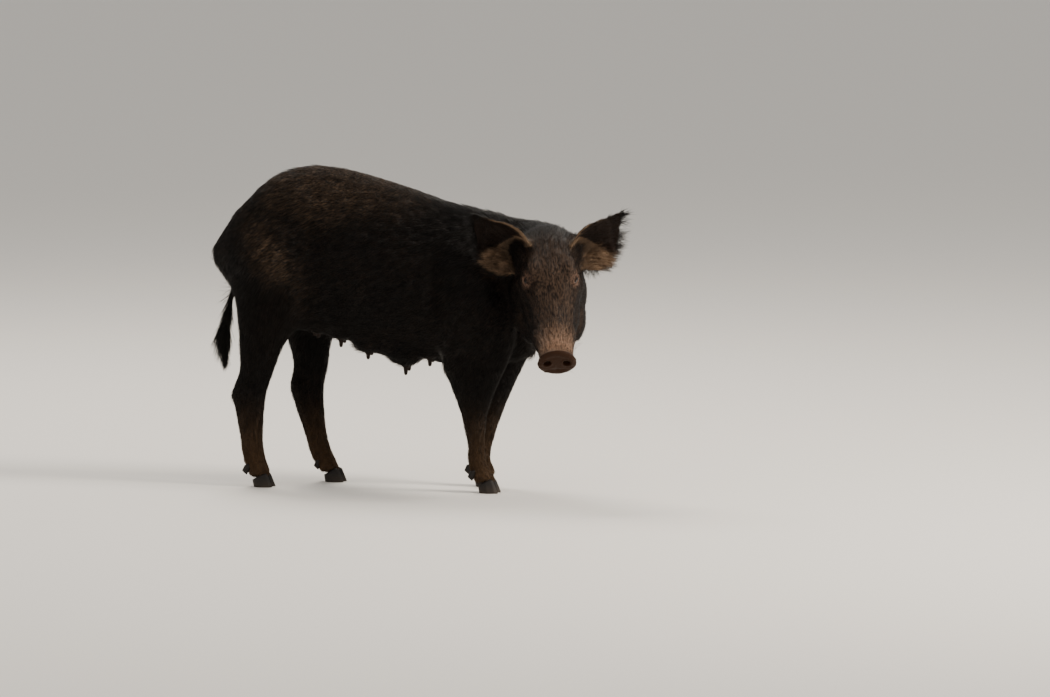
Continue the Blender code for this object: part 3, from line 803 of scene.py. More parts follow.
@dataclass
class Skin:
    """One skin round all her flesh, drawn in under the coat."""

    head: HeadFrame
    ears: tuple[EarFrame, ...]
    lids: Lids
    snout: Snout
    teats: Teats
    grain: float = 0.0057  # of the first, even mesh
    seal: float = 0.0006  # swells the solids until the thin cuts between them close
    thin: float = 0.27  # the most of a thin place's thickness that the coat may take
    border: int = 14  # rings of points over which one region turns into the next
    rounds: int = 45  # of smoothing where a region's is 1
    finer_teats: Pair = (0.024, 0.012)  # distances at which the mesh turns finer
    finer_eyes: Pair = (0.027, 0.0195)
    finer_snout: Pair = (0.304, 0.328)  # places along the head
    finer_nostril: float = 0.0125
    obj: bpy.types.Object = field(init=False)
    surface: Surface = field(init=False)
    masks: dict[Region, Array] = field(init=False)  # how much of each region a point belongs to
    marks: dict[str, Array] = field(init=False)  # what the finishes and the coat go by
    combed: Array = field(init=False)  # which way the coat lies
    flat: Array = field(init=False)  # each corner's place on the unwrap

    def build(self, material: bpy.types.Material) -> None:
        """Make the skin, which stands for all the solids of flesh.

        Args:
            material: Its finish.
        """
        self.obj = self._merged()
        self._refine()
        self.surface = Surface(self.obj)
        self.masks = self._regions()
        self._even_out()
        self._draw_in()
        self._shape_body()
        self._shape_ears()
        self._shape_head()
        self._mark()
        self._unwrap()
        dress(self.obj, material, "snout_skin", *FLESH_NODES)

    def share(self, *regions: Region) -> Array:
        """How much of each point belongs to some regions together."""
        return sum(self.masks[region] for region in regions)

    def _merged(self) -> bpy.types.Object:
        """The solids of flesh as one closed body of even grain."""
        whole = bmesh.new()
        for name in FLESH_NODES:
            bm = bmesh.new()
            bm.from_mesh(frame["nodes"][name].data)
            bmesh.ops.remove_doubles(bm, verts=bm.verts, dist=1e-5)
            bm.normal_update()
            moves = [(vert, vert.normal * self.seal) for vert in bm.verts]
            for vert, move in moves:
                vert.co += move
            part = bpy.data.meshes.new(name)
            bm.to_mesh(part)
            bm.free()
            whole.from_mesh(part)
            bpy.data.meshes.remove(part)
        obj = object_from(whole, "sow_skin")
        remesh = obj.modifiers.new("merge", "REMESH")
        remesh.mode = "VOXEL"
        remesh.voxel_size = self.grain
        settle(obj)
        self._drop_crumbs(obj.data)
        return obj

    @staticmethod
    def _drop_crumbs(mesh: bpy.types.Mesh) -> None:
        """Keep only the largest connected part of a mesh.

        Args:
            mesh: The mesh, which is changed.
        """
        bm = bmesh.new()
        bm.from_mesh(mesh)
        unseen = set(bm.verts)
        largest: set = set()
        while unseen:
            island, front = set(), [next(vert for vert in bm.verts if vert in unseen)]
            while front:
                vert = front.pop()
                if vert in unseen:
                    unseen.discard(vert)
                    island.add(vert)
                    front += [edge.other_vert(vert) for edge in vert.link_edges]
            largest = max(largest, island, key=len)
        crumbs = [vert for vert in bm.verts if vert not in largest]
        bmesh.ops.delete(bm, geom=crumbs, context="VERTS")
        bm.to_mesh(mesh)
        bm.free()

    @staticmethod
    def _labels(points: Array) -> Array:
        """The number of the region whose solids lie nearest to each point.

        Args:
            points: Points of the skin.

        Returns:
            Places in the list of regions.
        """
        corners, faces, owner = [], [], []
        for number, region in enumerate(REGIONS):
            for name in region.value:
                mesh = frame["nodes"][name].data
                start = len(corners)
                corners += [vert.co.copy() for vert in mesh.vertices]
                faces += [[start + i for i in face.vertices] for face in mesh.polygons]
                owner += [number] * len(mesh.polygons)
        tree = BVHTree.FromPolygons(corners, faces)
        return np.array([owner[tree.find_nearest(Vector(p))[2]] for p in points])

    def _refine(self) -> None:
        """Give the head, feet and teats a finer mesh, and the eyes and snout the finest."""
        numbers = [REGIONS.index(region) for region in (*FACE, Region.EAR, Region.FOOT)]
        for step in range(3):
            points = Surface(self.obj).points
            places = self.head.folded(points)
            far_eye = self.head.from_eye(places)
            on_snout = np.linalg.norm(places[:, 1:], axis=1) < self.snout.reach
            if step == 0:
                chosen = np.isin(self._labels(points), numbers)
                chosen |= self.teats.near(points, self.finer_teats[0])
            elif step == 1:
                chosen = (far_eye < self.finer_eyes[0]) | self.teats.near(points, self.finer_teats[1])
                chosen |= on_snout & (places[:, 0] > self.finer_snout[0])
            else:
                up, out = self.snout.nostril
                nostril = np.hypot(places[:, 1] - up, places[:, 2] - out) < self.finer_nostril
                chosen = on_snout & nostril & (places[:, 0] > self.finer_snout[1])
                chosen |= far_eye < self.finer_eyes[1]
            bm = bmesh.new()
            bm.from_mesh(self.obj.data)
            edges = [e for e in bm.edges if chosen[e.verts[0].index] and chosen[e.verts[1].index]]
            bmesh.ops.subdivide_edges(bm, edges=edges, cuts=1, use_grid_fill=True, smooth=0.0)
            bm.to_mesh(self.obj.data)
            bm.free()

    def _regions(self) -> dict[Region, Array]:
        """How much of each region every point belongs to, with soft borders."""
        labels = self._labels(self.surface.points)
        shares = self.surface.soften(np.eye(len(REGIONS))[labels], self.border)
        return {region: shares[:, i] for i, region in enumerate(REGIONS)}

    def _even_out(self) -> None:
        """Smooth away the facets of the solids, most on the broad parts."""
        weights = sum(self.masks[region] * cover.smoothing for region, cover in COVERS.items())
        self.surface.smooth(self.rounds, np.clip(weights, 0.0, 1.0) ** 1.5)
        self.surface.smooth(4)
        points = self.surface.points
        lumps = self.teats.near(points, 0.016)[:, None] & (self.masks[Region.TRUNK] > 0.5)[:, None]
        for _ in range(30):
            points += 0.6 * lumps * (self.surface.average(points) - points)

    def _draw_in(self) -> None:
        """Lower the skin by the depth of the coat, or less where the body is thin."""
        normals = self.surface.normals()
        bm = bmesh.new()
        bm.from_mesh(self.surface.mesh)
        tree = BVHTree.FromBMesh(bm)
        bm.free()
        depth = sum(self.masks[region] * cover.depth for region, cover in COVERS.items())
        thick = np.full(len(depth), 1.0)
        for i, (point, normal) in enumerate(zip(self.surface.points, normals)):
            hit = tree.ray_cast(Vector(point - normal * 2e-4), Vector(-normal), 0.05)
            if hit[3] is not None:
                thick[i] = hit[3]
        thick = self.surface.soften(thick, 3)
        depth = self.surface.soften(np.minimum(depth, self.thin * thick), 4)
        self.surface.points -= normals * depth[:, None]
        self.surface.smooth(3)

    def _shape_body(self) -> None:
        """Bring out the shoulder, hip, ham and flank."""
        points = self.surface.points
        beside = points[:, 1] - middle_plane()
        places = np.stack([points[:, 0], np.abs(beside), points[:, 2]], 1)
        moves = sum(push.moves(places) for push in BODY_PUSHES)
        moves[:, 1] *= np.sign(beside)
        points += moves * self.share(Region.TRUNK, Region.LEG, Region.NECK)[:, None]
        points += sum(push.moves(points) for push in LEG_PUSHES)
        self.surface.points = self.teats.draw_down(points)

    def _shape_ears(self) -> None:
        """Raise the gristle inside the ears and roll their front edges forwards."""
        normals = self.surface.normals()
        for ear in self.ears:
            own = ear.local(self.surface.points)
            this = self.masks[Region.EAR] * (np.linalg.norm(own, axis=1) < ear.span)
            facing = ramp(normals @ ear.axes[2], 0.1, 0.6)
            along, across = own[:, 0], own[:, 1]
            reach = np.where(across > 0, ear.half_width(along, True), ear.half_width(along, False))
            share = across / reach
            ridge = np.cos(across / ear.ridges * 2 * math.pi) * ramp(along, 0.005, 0.03)
            ridge *= 1 - ramp(along, 0.06, 0.10)
            bowl = ramp(along, 0.065, 0.015) * (1 - ramp(np.abs(share), 0.3, 0.8))
            roll = ramp(-share, 0.45, 1.0) * 0.007 + ramp(share, 0.7, 1.0) * 0.002
            move = facing * (0.0007 * ridge - 0.004 * bowl) + roll
            self.surface.points += (this * move)[:, None] * ear.axes[2]

    def _shape_head(self) -> None:
        """Form the face, the lids and the snout."""
        own = np.clip(self.share(*FACE) * 1.4, 0.0, 1.0)[:, None]
        for shape in (self._press, self._fold_lids, self.snout.shape):
            normals = self.surface.normals() @ self.head.axes.T
            places = self.head.local(self.surface.points)
            side = np.where(places[:, 2] < 0, -1.0, 1.0)
            places[:, 2] *= side
            normals[:, 2] *= side
            moved = places + (shape(places, normals) - places) * own
            moved[:, 2] *= side
            self.surface.points = self.head.world(moved)
        self.surface.write()

    def _press(self, places: Array, _: Array) -> Array:
        """The face's bones and muscles."""
        return places + sum(push.moves(places) for push in HEAD_PUSHES)

    def _fold_lids(self, places: Array, _: Array) -> Array:
        """The lids round the eyeball."""
        return self.lids.close(places)

    def _mark(self) -> None:
        """Keep where the face, bare snout, lids, ear linings and feet are, for the finishes."""
        points = self.surface.points
        normals = self.surface.normals()
        places = self.head.folded(points)
        ahead, above = places[:, 0], places[:, 1]
        on_head = self.share(*FACE)
        inside, rim, low = self._ear_marks(points, normals)
        disc = ramp(ahead, self.snout.disc - 0.015, self.snout.disc - 0.008) * on_head
        pale = ramp(ahead, 0.245, 0.330) * on_head * (1 - disc) * ramp(above, -0.010, 0.026)
        # Lighter where the forehead and nose face upwards: painted highlight, and partly their greyer
        # hair.
        top = ramp(normals @ self.head.axes[1], 0.20, 0.95)
        self.marks = {
            "face": on_head * ramp(ahead, -0.01, 0.08) * ramp(above, -0.09, 0.03),
            "ridge": on_head * top * ramp(ahead, 0.0, 0.15),
            # Painted sheen: lighter brown where light catches the coat on haunches, hips and back.
            "painted_sheen": self._painted_sheen(points),
            "disc": disc,
            "muzzle": pale,
            "lid": on_head * (1 - ramp(self.head.from_eye(places), 0.0115, 0.0280)),
            "ear_inside": np.clip(inside, 0, 1),
            # Painted highlight along the ears' front rims.
            "ear_rim_highlight": np.clip(rim, 0, 1),
            "ear_low": np.clip(low * inside, 0, 1),
            # Paler brown low on the legs: dust near the ground, and painted sheen on the cannons.
            "foot": self.share(*LEGS) * ramp(points[:, 2], 0.215, 0.03),
            "streaked": on_head * (1 - disc) * (0.85 - 0.35 * pale),
            "teat": self.teats.mark(points),
            # Painted shade, darkest at the bottom of each ear's bowl.
            "canal": self._canals(points),
        }
        for name, values in self.marks.items():
            self.surface.store(name, values)
        self.combed = self._lie(points, normals, self.head.local(points))

    def _ear_marks(self, points: Array, normals: Array) -> Array:
        """Where the ears' linings, painted rim highlights and tufted lower parts are.

        Args:
            points: The skin's points.
            normals: Their normals.

        Returns:
            The three shares of each point, one in each row.
        """
        inside, rim, low = np.zeros((3, len(points)))
        for ear in self.ears:
            own = ear.local(points)
            along, across = own[:, 0], own[:, 1]
            facing = normals @ ear.axes[2]
            this = self.masks[Region.EAR] * (np.abs(across) < ear.span / 2)
            this = this * (np.linalg.norm(own, axis=1) < ear.span)
            inside += this * ramp(facing, 0.05, 0.4)
            # The front rim gets a painted highlight along the ear's inner edge.
            edge = ramp(across + ear.half_width(along, False), 0.0050, 0.0015)
            edge *= ramp(along, 0.105, 0.080) * (across < 0)
            rim += this * edge * ramp(facing, -0.5, 0.0)
            low += this * ramp(along, 0.080, 0.010) * ramp(across, -0.005, 0.045)
        return np.array([inside, rim, low])

    def _painted_sheen(self, points: Array) -> Array:
        """Painted sheen, where light catches the coat in brown, on the haunches, hips and back.

        Args:
            points: The skin's points.

        Returns:
            How much painted sheen each one has.
        """
        x, z = points[:, 0], points[:, 2]
        slope = x + 0.55 * (z - 0.51)
        haunch = bell(slope, -0.300, 0.040) * bell(z, 0.505, 0.075)
        hip = 0.7 * bell(x, -0.185, 0.070) * bell(z, 0.610, 0.050)
        spine = 0.9 * ramp(z, 0.555, 0.640) * ramp(x, 0.12, -0.10) * ramp(x, -0.36, -0.28)
        return np.clip(haunch + np.maximum(hip, spine), 0, 1) * self.masks[Region.TRUNK]

    def _canals(self, points: Array) -> Array:
        """How deep each point is in the bowl of an ear, where painted shade darkens it."""
        far = [np.linalg.norm(ear.local(points) - np.array(ear.canal), axis=1) for ear in self.ears]
        return 1 - ramp(np.min(far, axis=0), 0.012, 0.036)

    def _lie(self, points: Array, normals: Array, places: Array) -> Array:
        """The direction in which the coat lies at each point.

        Args:
            points: The skin's points.
            normals: Their normals.
            places: The points in the head's axes.

        Returns:
            Directions along the skin.
        """
        ahead, above, left = self.head.axes
        up = normals[:, 2]
        side = (1 - ramp(up, 0.55, 0.97)) * ramp(up, -0.75, -0.2)
        fore, rear = ramp(points[:, 0], 0.0, 0.2), ramp(points[:, 0], -0.24, -0.40)
        down = side * (0.45 + 0.45 * fore + 0.9 * rear)
        trunk = np.stack([-np.ones(len(points)), np.zeros(len(points)), -down], 1)
        beside = places[:, 2:] / 0.06
        face = -ahead - 0.28 * above * np.abs(beside) + 0.20 * left * np.clip(beside, -1, 1)
        ears = np.zeros_like(points)
        for ear in self.ears:
            own = ear.local(points)
            near = (np.sign(places[:, 2]) == SIDES[ear.side])[:, None]
            outward = np.clip(own[:, 1:2] / 0.05, -1.0, 1.3)
            facing = ramp(normals @ ear.axes[2], 0.0, 0.5)[:, None]
            ears += near * (ear.axes[0] + ear.axes[1] * (0.35 * outward + 0.55 * facing))
        guide = {
            Region.TRUNK: trunk,
            Region.NECK: unit(trunk) * 0.55 - 0.6 * ahead - 0.15 * above,
            **dict.fromkeys(FACE, face),
            Region.EAR: ears,
            Region.TAIL: np.array([[0.0, 0.0, -1.0]]),
            Region.LEG: np.array([[-0.30, 0.0, -1.0]]),
            Region.SHANK: np.array([[-0.05, 0.0, -1.0]]),
            Region.FOOT: np.array([[0.15, 0.0, -1.0]]),
        }
        lie = sum(self.masks[region][:, None] * unit(way) for region, way in guide.items())
        for _ in range(3):
            lie = self.surface.soften(unit(flattened(lie, normals)), 4)
        return unit(flattened(lie, normals))

    def _unwrap(self) -> None:
        """Lay the skin's own shape out flat, for the coat's places on it."""
        view = bpy.context.view_layer
        for obj in view.objects:
            obj.select_set(obj is self.obj)
        view.objects.active = self.obj
        bpy.ops.object.mode_set(mode="EDIT")
        bpy.ops.mesh.select_all(action="SELECT")
        bpy.ops.uv.smart_project(angle_limit=math.radians(70), island_margin=0.002)
        bpy.ops.object.mode_set(mode="OBJECT")
        layer = self.obj.data.uv_layers.active
        layer.name = "OFBake"
        flat = np.empty(len(layer.uv) * 2, np.float32)
        layer.uv.foreach_get("vector", flat)
        self.flat = flat.reshape(-1, 2)


# ------------------------------------------------------------
# The coat.


@dataclass(frozen=True)
class Strand:
    """How one kind of tuft is made: its size, how it stands, and how it gathers into locks."""

    length: float
    width: float
    lift: float  # degrees between the tuft and the skin at its root
    droop: float = 0.5  # how far the lift is lost towards the tip
    stray: float = 0.12  # how far tufts stray from the lie of the coat
    uneven: float = 0.25  # share by which lengths differ
    lock: float = 0.010  # distance between the locks that tips gather into
    gather: float = 0.35  # how far a tip moves over to its lock
    rings: int = 2  # cross-sections below the tip
    contrast: float = 1.0  # how much tufts differ in tone


@dataclass
class Roots:
    """Where tufts grow: places, normals, lie, place on the unwrap, and the marks there."""

    at: Array
    normal: Array
    lie: Array
    flat: Array
    marks: dict[str, Array]

    def unmarked(self) -> None:
        """Set every mark to nothing, for tufts that are black wherever they grow."""
        self.marks = {name: values * 0 for name, values in self.marks.items()}


def tree_of(points: Array, numbers: list[int] | None = None) -> KDTree:
    """A tree that finds the nearest of some points.

    Args:
        points: The points.
        numbers: What to call each one, if not by its place in the list.

    Returns:
        The tree.
    """
    tree = KDTree(len(points))
    for place, point in enumerate(points.tolist()):
        tree.insert(point, numbers[place] if numbers else place)
    tree.balance()
    return tree


@dataclass
class Scalp:
    """The skin as a place to root tufts in."""

    skin: Skin
    seed: int = 7

    def __post_init__(self) -> None:
        """Read the finished skin."""
        surface = self.skin.surface
        self.points, self.normals = surface.points, surface.normals()
        self.triangles, self.loops = surface.triangles()
        a, b, c = (self.points[self.triangles[:, i]] for i in range(3))
        self.areas = np.linalg.norm(np.cross(b - a, c - a), axis=1) / 2
        self.random = np.random.default_rng(self.seed)
        self.tree = tree_of(self.points)

    def nearest(self, places: Array) -> Array:
        """The number of the skin's point that is nearest to each place."""
        return np.array([self.tree.find(place)[1] for place in places.tolist()])

    def clearance(self, ends: Array, outward: Array, wanted: Array) -> Array:
        """How far the ends of tufts have to move to stand clear of the skin under them.

        Args:
            ends: Where the tufts end.
            outward: The skin's normals at their roots.
            wanted: How far each end should be from the skin.

        Returns:
            The moves.
        """
        nearest = self.nearest(ends)
        normal = self.normals[nearest]
        height = ((ends - self.points[nearest]) * normal).sum(1)
        same = (normal * outward).sum(1) > 0.25
        return normal * (np.maximum(wanted - height, 0) * same)[:, None]

    def sow(self, count: int, weights: Array) -> Roots:
        """Scatter roots evenly over the skin, denser where the weights are higher.

        Args:
            count: How many.
            weights: One number for each point of the skin.

        Returns:
            The roots.
        """
        density = np.clip(weights, 0, None)[self.triangles].mean(1)
        total = np.cumsum(self.areas * density)
        steps = (np.arange(count) + self.random.random(count)) / count * total[-1]
        chosen = np.minimum(np.searchsorted(total, steps), len(total) - 1)
        share = self.random.random((count, 2))
        share = np.where(share.sum(1, keepdims=True) > 1, 1 - share, share)
        parts = np.stack([1 - share.sum(1), share[:, 0], share[:, 1]], 1)
        corners = self.triangles[chosen]
        loops = self.loops[chosen]

        def mixed(values: Array, index: Array) -> Array:
            """Values of the three corners, mixed for each root."""
            found = values[index]
            return (found * parts.reshape(count, 3, *[1] * (found.ndim - 2))).sum(1)

        marks = {name: mixed(values, corners) for name, values in self.skin.marks.items()}
        normal = unit(mixed(self.normals, corners))
        lie = unit(flattened(mixed(self.skin.combed, corners), normal))
        return Roots(mixed(self.points, corners), normal, lie, mixed(self.skin.flat, loops), marks)

    def plant(self, at: Array, normal: Array, lie: Array) -> Roots:
        """Roots at given places, with the marks of the skin nearest to them.

        Args:
            at: The places.
            normal: Which way is out at each.
            lie: Where each tuft points.

        Returns:
            The roots.
        """
        nearest = self.nearest(at)
        loop = np.zeros(len(self.points), int)
        loop[self.triangles.ravel()] = self.loops.ravel()
        marks = {name: values[nearest] for name, values in self.skin.marks.items()}
        return Roots(at, normal, lie, self.skin.flat[loop[nearest]], marks)


class Tufts:
    """Makes closed, three-sided tufts over roots, as one joined mesh."""

    patch = 0.003  # a tuft's size on the unwrap
    seeds = 9  # at least this many tufts for each lock
    lock_length = 0.12  # how much the tufts of a lock differ from the next lock's
    lock_turn = 0.9
    lock_lift = 0.18
    lock_tone = 0.17
    own_lift = 0.22  # how much tufts differ within a lock
    own_tone = 0.15
    most_bent = 0.45  # the share of its length by which a tip moves over
    clear = 0.6  # the share of its rise that a tip keeps over hollow skin

    def __init__(self, name: str, scalp: Scalp) -> None:
        """Start a coat piece.

        Args:
            name: The piece's name.
            scalp: The skin that it grows on.
        """
        self.name = name
        self.scalp = scalp
        self.random = scalp.random
        self.parts: list[tuple[Array, Array, Array, dict[str, Array]]] = []

    def _locks(self, roots: Roots, strand: Strand) -> tuple[Array, Array]:
        """Gather the roots into locks that stand at least the strand's distance apart.

        Args:
            roots: Where the tufts grow.
            strand: What kind they are.

        Returns:
            The lock that each root belongs to, and the root in the middle of each lock.
        """
        count = len(roots.at)
        seeds = self.random.permutation(count)[: max(1, count // self.seeds)].tolist()
        tree, at = tree_of(roots.at[seeds], seeds), roots.at.tolist()
        kept: list[int] = []
        taken: set[int] = set()
        for seed in seeds:
            if seed not in taken:
                kept.append(seed)
                taken |= {other for _, other, _ in tree.find_range(at[seed], strand.lock)}
        tree = tree_of(roots.at[kept])
        return np.array([tree.find(place)[1] for place in at]), np.array(kept)

    def grow(self, roots: Roots, strand: Strand, size: Array | float = 1.0) -> None:
        """Add a tuft at each root.

        Args:
            roots: Where they grow.
            strand: What kind they are.
            size: Scales each tuft's length.
        """
        count = len(roots.at)
        if not count:
            return
        rnd = self.random
        lock, heads = self._locks(roots, strand)
        per_lock = rnd.normal(size=(len(heads), 4))
        length = strand.length * size * (1 + strand.uneven * rnd.uniform(-1, 1, count))
        length = length * (1 + self.lock_length * per_lock[lock, 0])
        across = np.cross(roots.lie, roots.normal)
        turn = strand.stray * (rnd.normal(size=count) + self.lock_turn * per_lock[lock, 1])
        lie = unit(roots.lie + across * turn[:, None])
        uneven = self.own_lift * rnd.normal(size=count) + self.lock_lift * per_lock[lock, 2]
        lift = np.radians(strand.lift) * (1 + uneven)
        tip = lie * np.cos(lift)[:, None] + roots.normal * np.sin(lift)[:, None]
        head = heads[lock]
        shared = roots.at[head] + tip[head] * length[head, None]
        own = roots.at + tip * length[:, None]
        pull = np.clip(strand.gather * rnd.uniform(0.6, 1.2, count), 0, 0.9)
        bent = (shared - own) * pull[:, None]
        far = np.maximum(np.linalg.norm(bent, axis=1), 1e-9)
        bent *= np.minimum(1.0, self.most_bent * length / far)[:, None]
        ends = self._along(roots, tip, length, bent, strand, 1.0)
        wanted = self.clear * length * np.sin(lift) * (1 - strand.droop) + strand.width
        bent += self.scalp.clearance(ends, roots.normal, wanted)
        side = unit(np.cross(lie, roots.normal))
        thick = strand.width / 2 * rnd.uniform(0.75, 1.25, (count, 1))
        steps = [ring / strand.rings for ring in range(strand.rings)]
        rows = []
        for step in steps:
            middle = self._along(roots, tip, length, bent, strand, step)
            half = thick * (1.0 - 0.30 * step - 0.25 * step * step)
            rows += [middle - side * half, middle + side * half, middle + roots.normal * half * 0.9]
        rows.append(self._along(roots, tip, length, bent, strand, 1.0))
        per = len(rows)
        spread = np.array([(c, s) for s in steps for c in (0.0, 1.0, 0.5)] + [(0.5, 1.0)]) - 0.5
        flat = roots.flat[:, None] + spread[None] * self.patch
        tone = self.lock_tone * per_lock[lock, 3] * min(1.0, strand.lock / Strand.lock)
        tone += self.own_tone * rnd.normal(size=count)
        marks = {name: np.repeat(values, per) for name, values in roots.marks.items()}
        marks["tone"] = np.repeat(np.clip(0.5 + strand.contrast * tone, 0, 1), per)
        marks["tip"] = np.tile([*np.repeat(steps, 3), 1.0], count)
        faces = self._pattern(strand.rings)
        self.parts.append((np.stack(rows, 1).reshape(-1, 3), faces, flat.reshape(-1, 2), marks))

    @staticmethod
    def _pattern(rings: int) -> Array:
        """The triangles of one tuft: its closed root, its sides from ring to ring, and its tip.

        Args:
            rings: How many cross-sections it has below the tip.

        Returns:
            Each triangle's three points, counted from the tuft's first.
        """
        around = ((0, 1), (1, 2), (2, 0))
        faces = [(0, 2, 1)]
        for low in range(0, 3 * rings - 3, 3):
            for i, j in around:
                faces += [(low + i, low + j, low + j + 3), (low + i, low + j + 3, low + i + 3)]
        last = 3 * rings - 3
        return np.array(faces + [(last + i, last + j, last + 3) for i, j in around])

    @staticmethod
    def _along(
        roots: Roots, tip: Array, length: Array, bent: Array, strand: Strand, step: float
    ) -> Array:
        """The middle of each tuft at one step.

        Args:
            roots: Where the tufts grow.
            tip: Which way each one starts out.
            length: Their lengths.
            bent: How far each tip is moved over.
            strand: What kind they are.
            step: The share of the way from root to tip.

        Returns:
            The middles.
        """
        middle = roots.at - roots.normal * strand.length * 0.03 + tip * (length * step)[:, None]
        middle = middle + bent * step**1.6
        rise = ((tip * roots.normal).sum(1) * length * strand.droop * step * step)[:, None]
        return middle - roots.normal * rise

    def finish(self, material: bpy.types.Material) -> None:
        """Join the tufts into one piece.

        Args:
            material: The piece's finish.
        """
        points, faces, flat = [], [], []
        start = 0
        for at, pattern, uv, _ in self.parts:
            per = pattern.max() + 1
            count = len(at) // per
            shifts = start + np.arange(count)[:, None, None] * per
            points.append(at)
            faces.append((pattern[None] + shifts).reshape(-1, 3))
            flat.append(uv)
            start += len(at)
        points, faces, flat = np.concatenate(points), np.concatenate(faces), np.concatenate(flat)
        mesh = bpy.data.meshes.new(self.name)
        mesh.vertices.add(len(points))
        mesh.vertices.foreach_set("co", points.astype(np.float32).ravel())
        mesh.loops.add(len(faces) * 3)
        mesh.loops.foreach_set("vertex_index", faces.astype(np.int32).ravel())
        mesh.polygons.add(len(faces))
        mesh.polygons.foreach_set("loop_start", np.arange(0, len(faces) * 3, 3, dtype=np.int32))
        layer = mesh.uv_layers.new(name="OFBake")
        layer.uv.foreach_set("vector", flat[faces.ravel()].astype(np.float32).ravel())
        for name in self.parts[0][3]:
            values = np.concatenate([part[3][name] for part in self.parts])
            found = mesh.attributes.new(name, "FLOAT", "POINT")
            found.data.foreach_set("value", values.astype(np.float32))
        mesh.update(calc_edges=True)
        dress(linked(self.name, mesh), material, "coat")


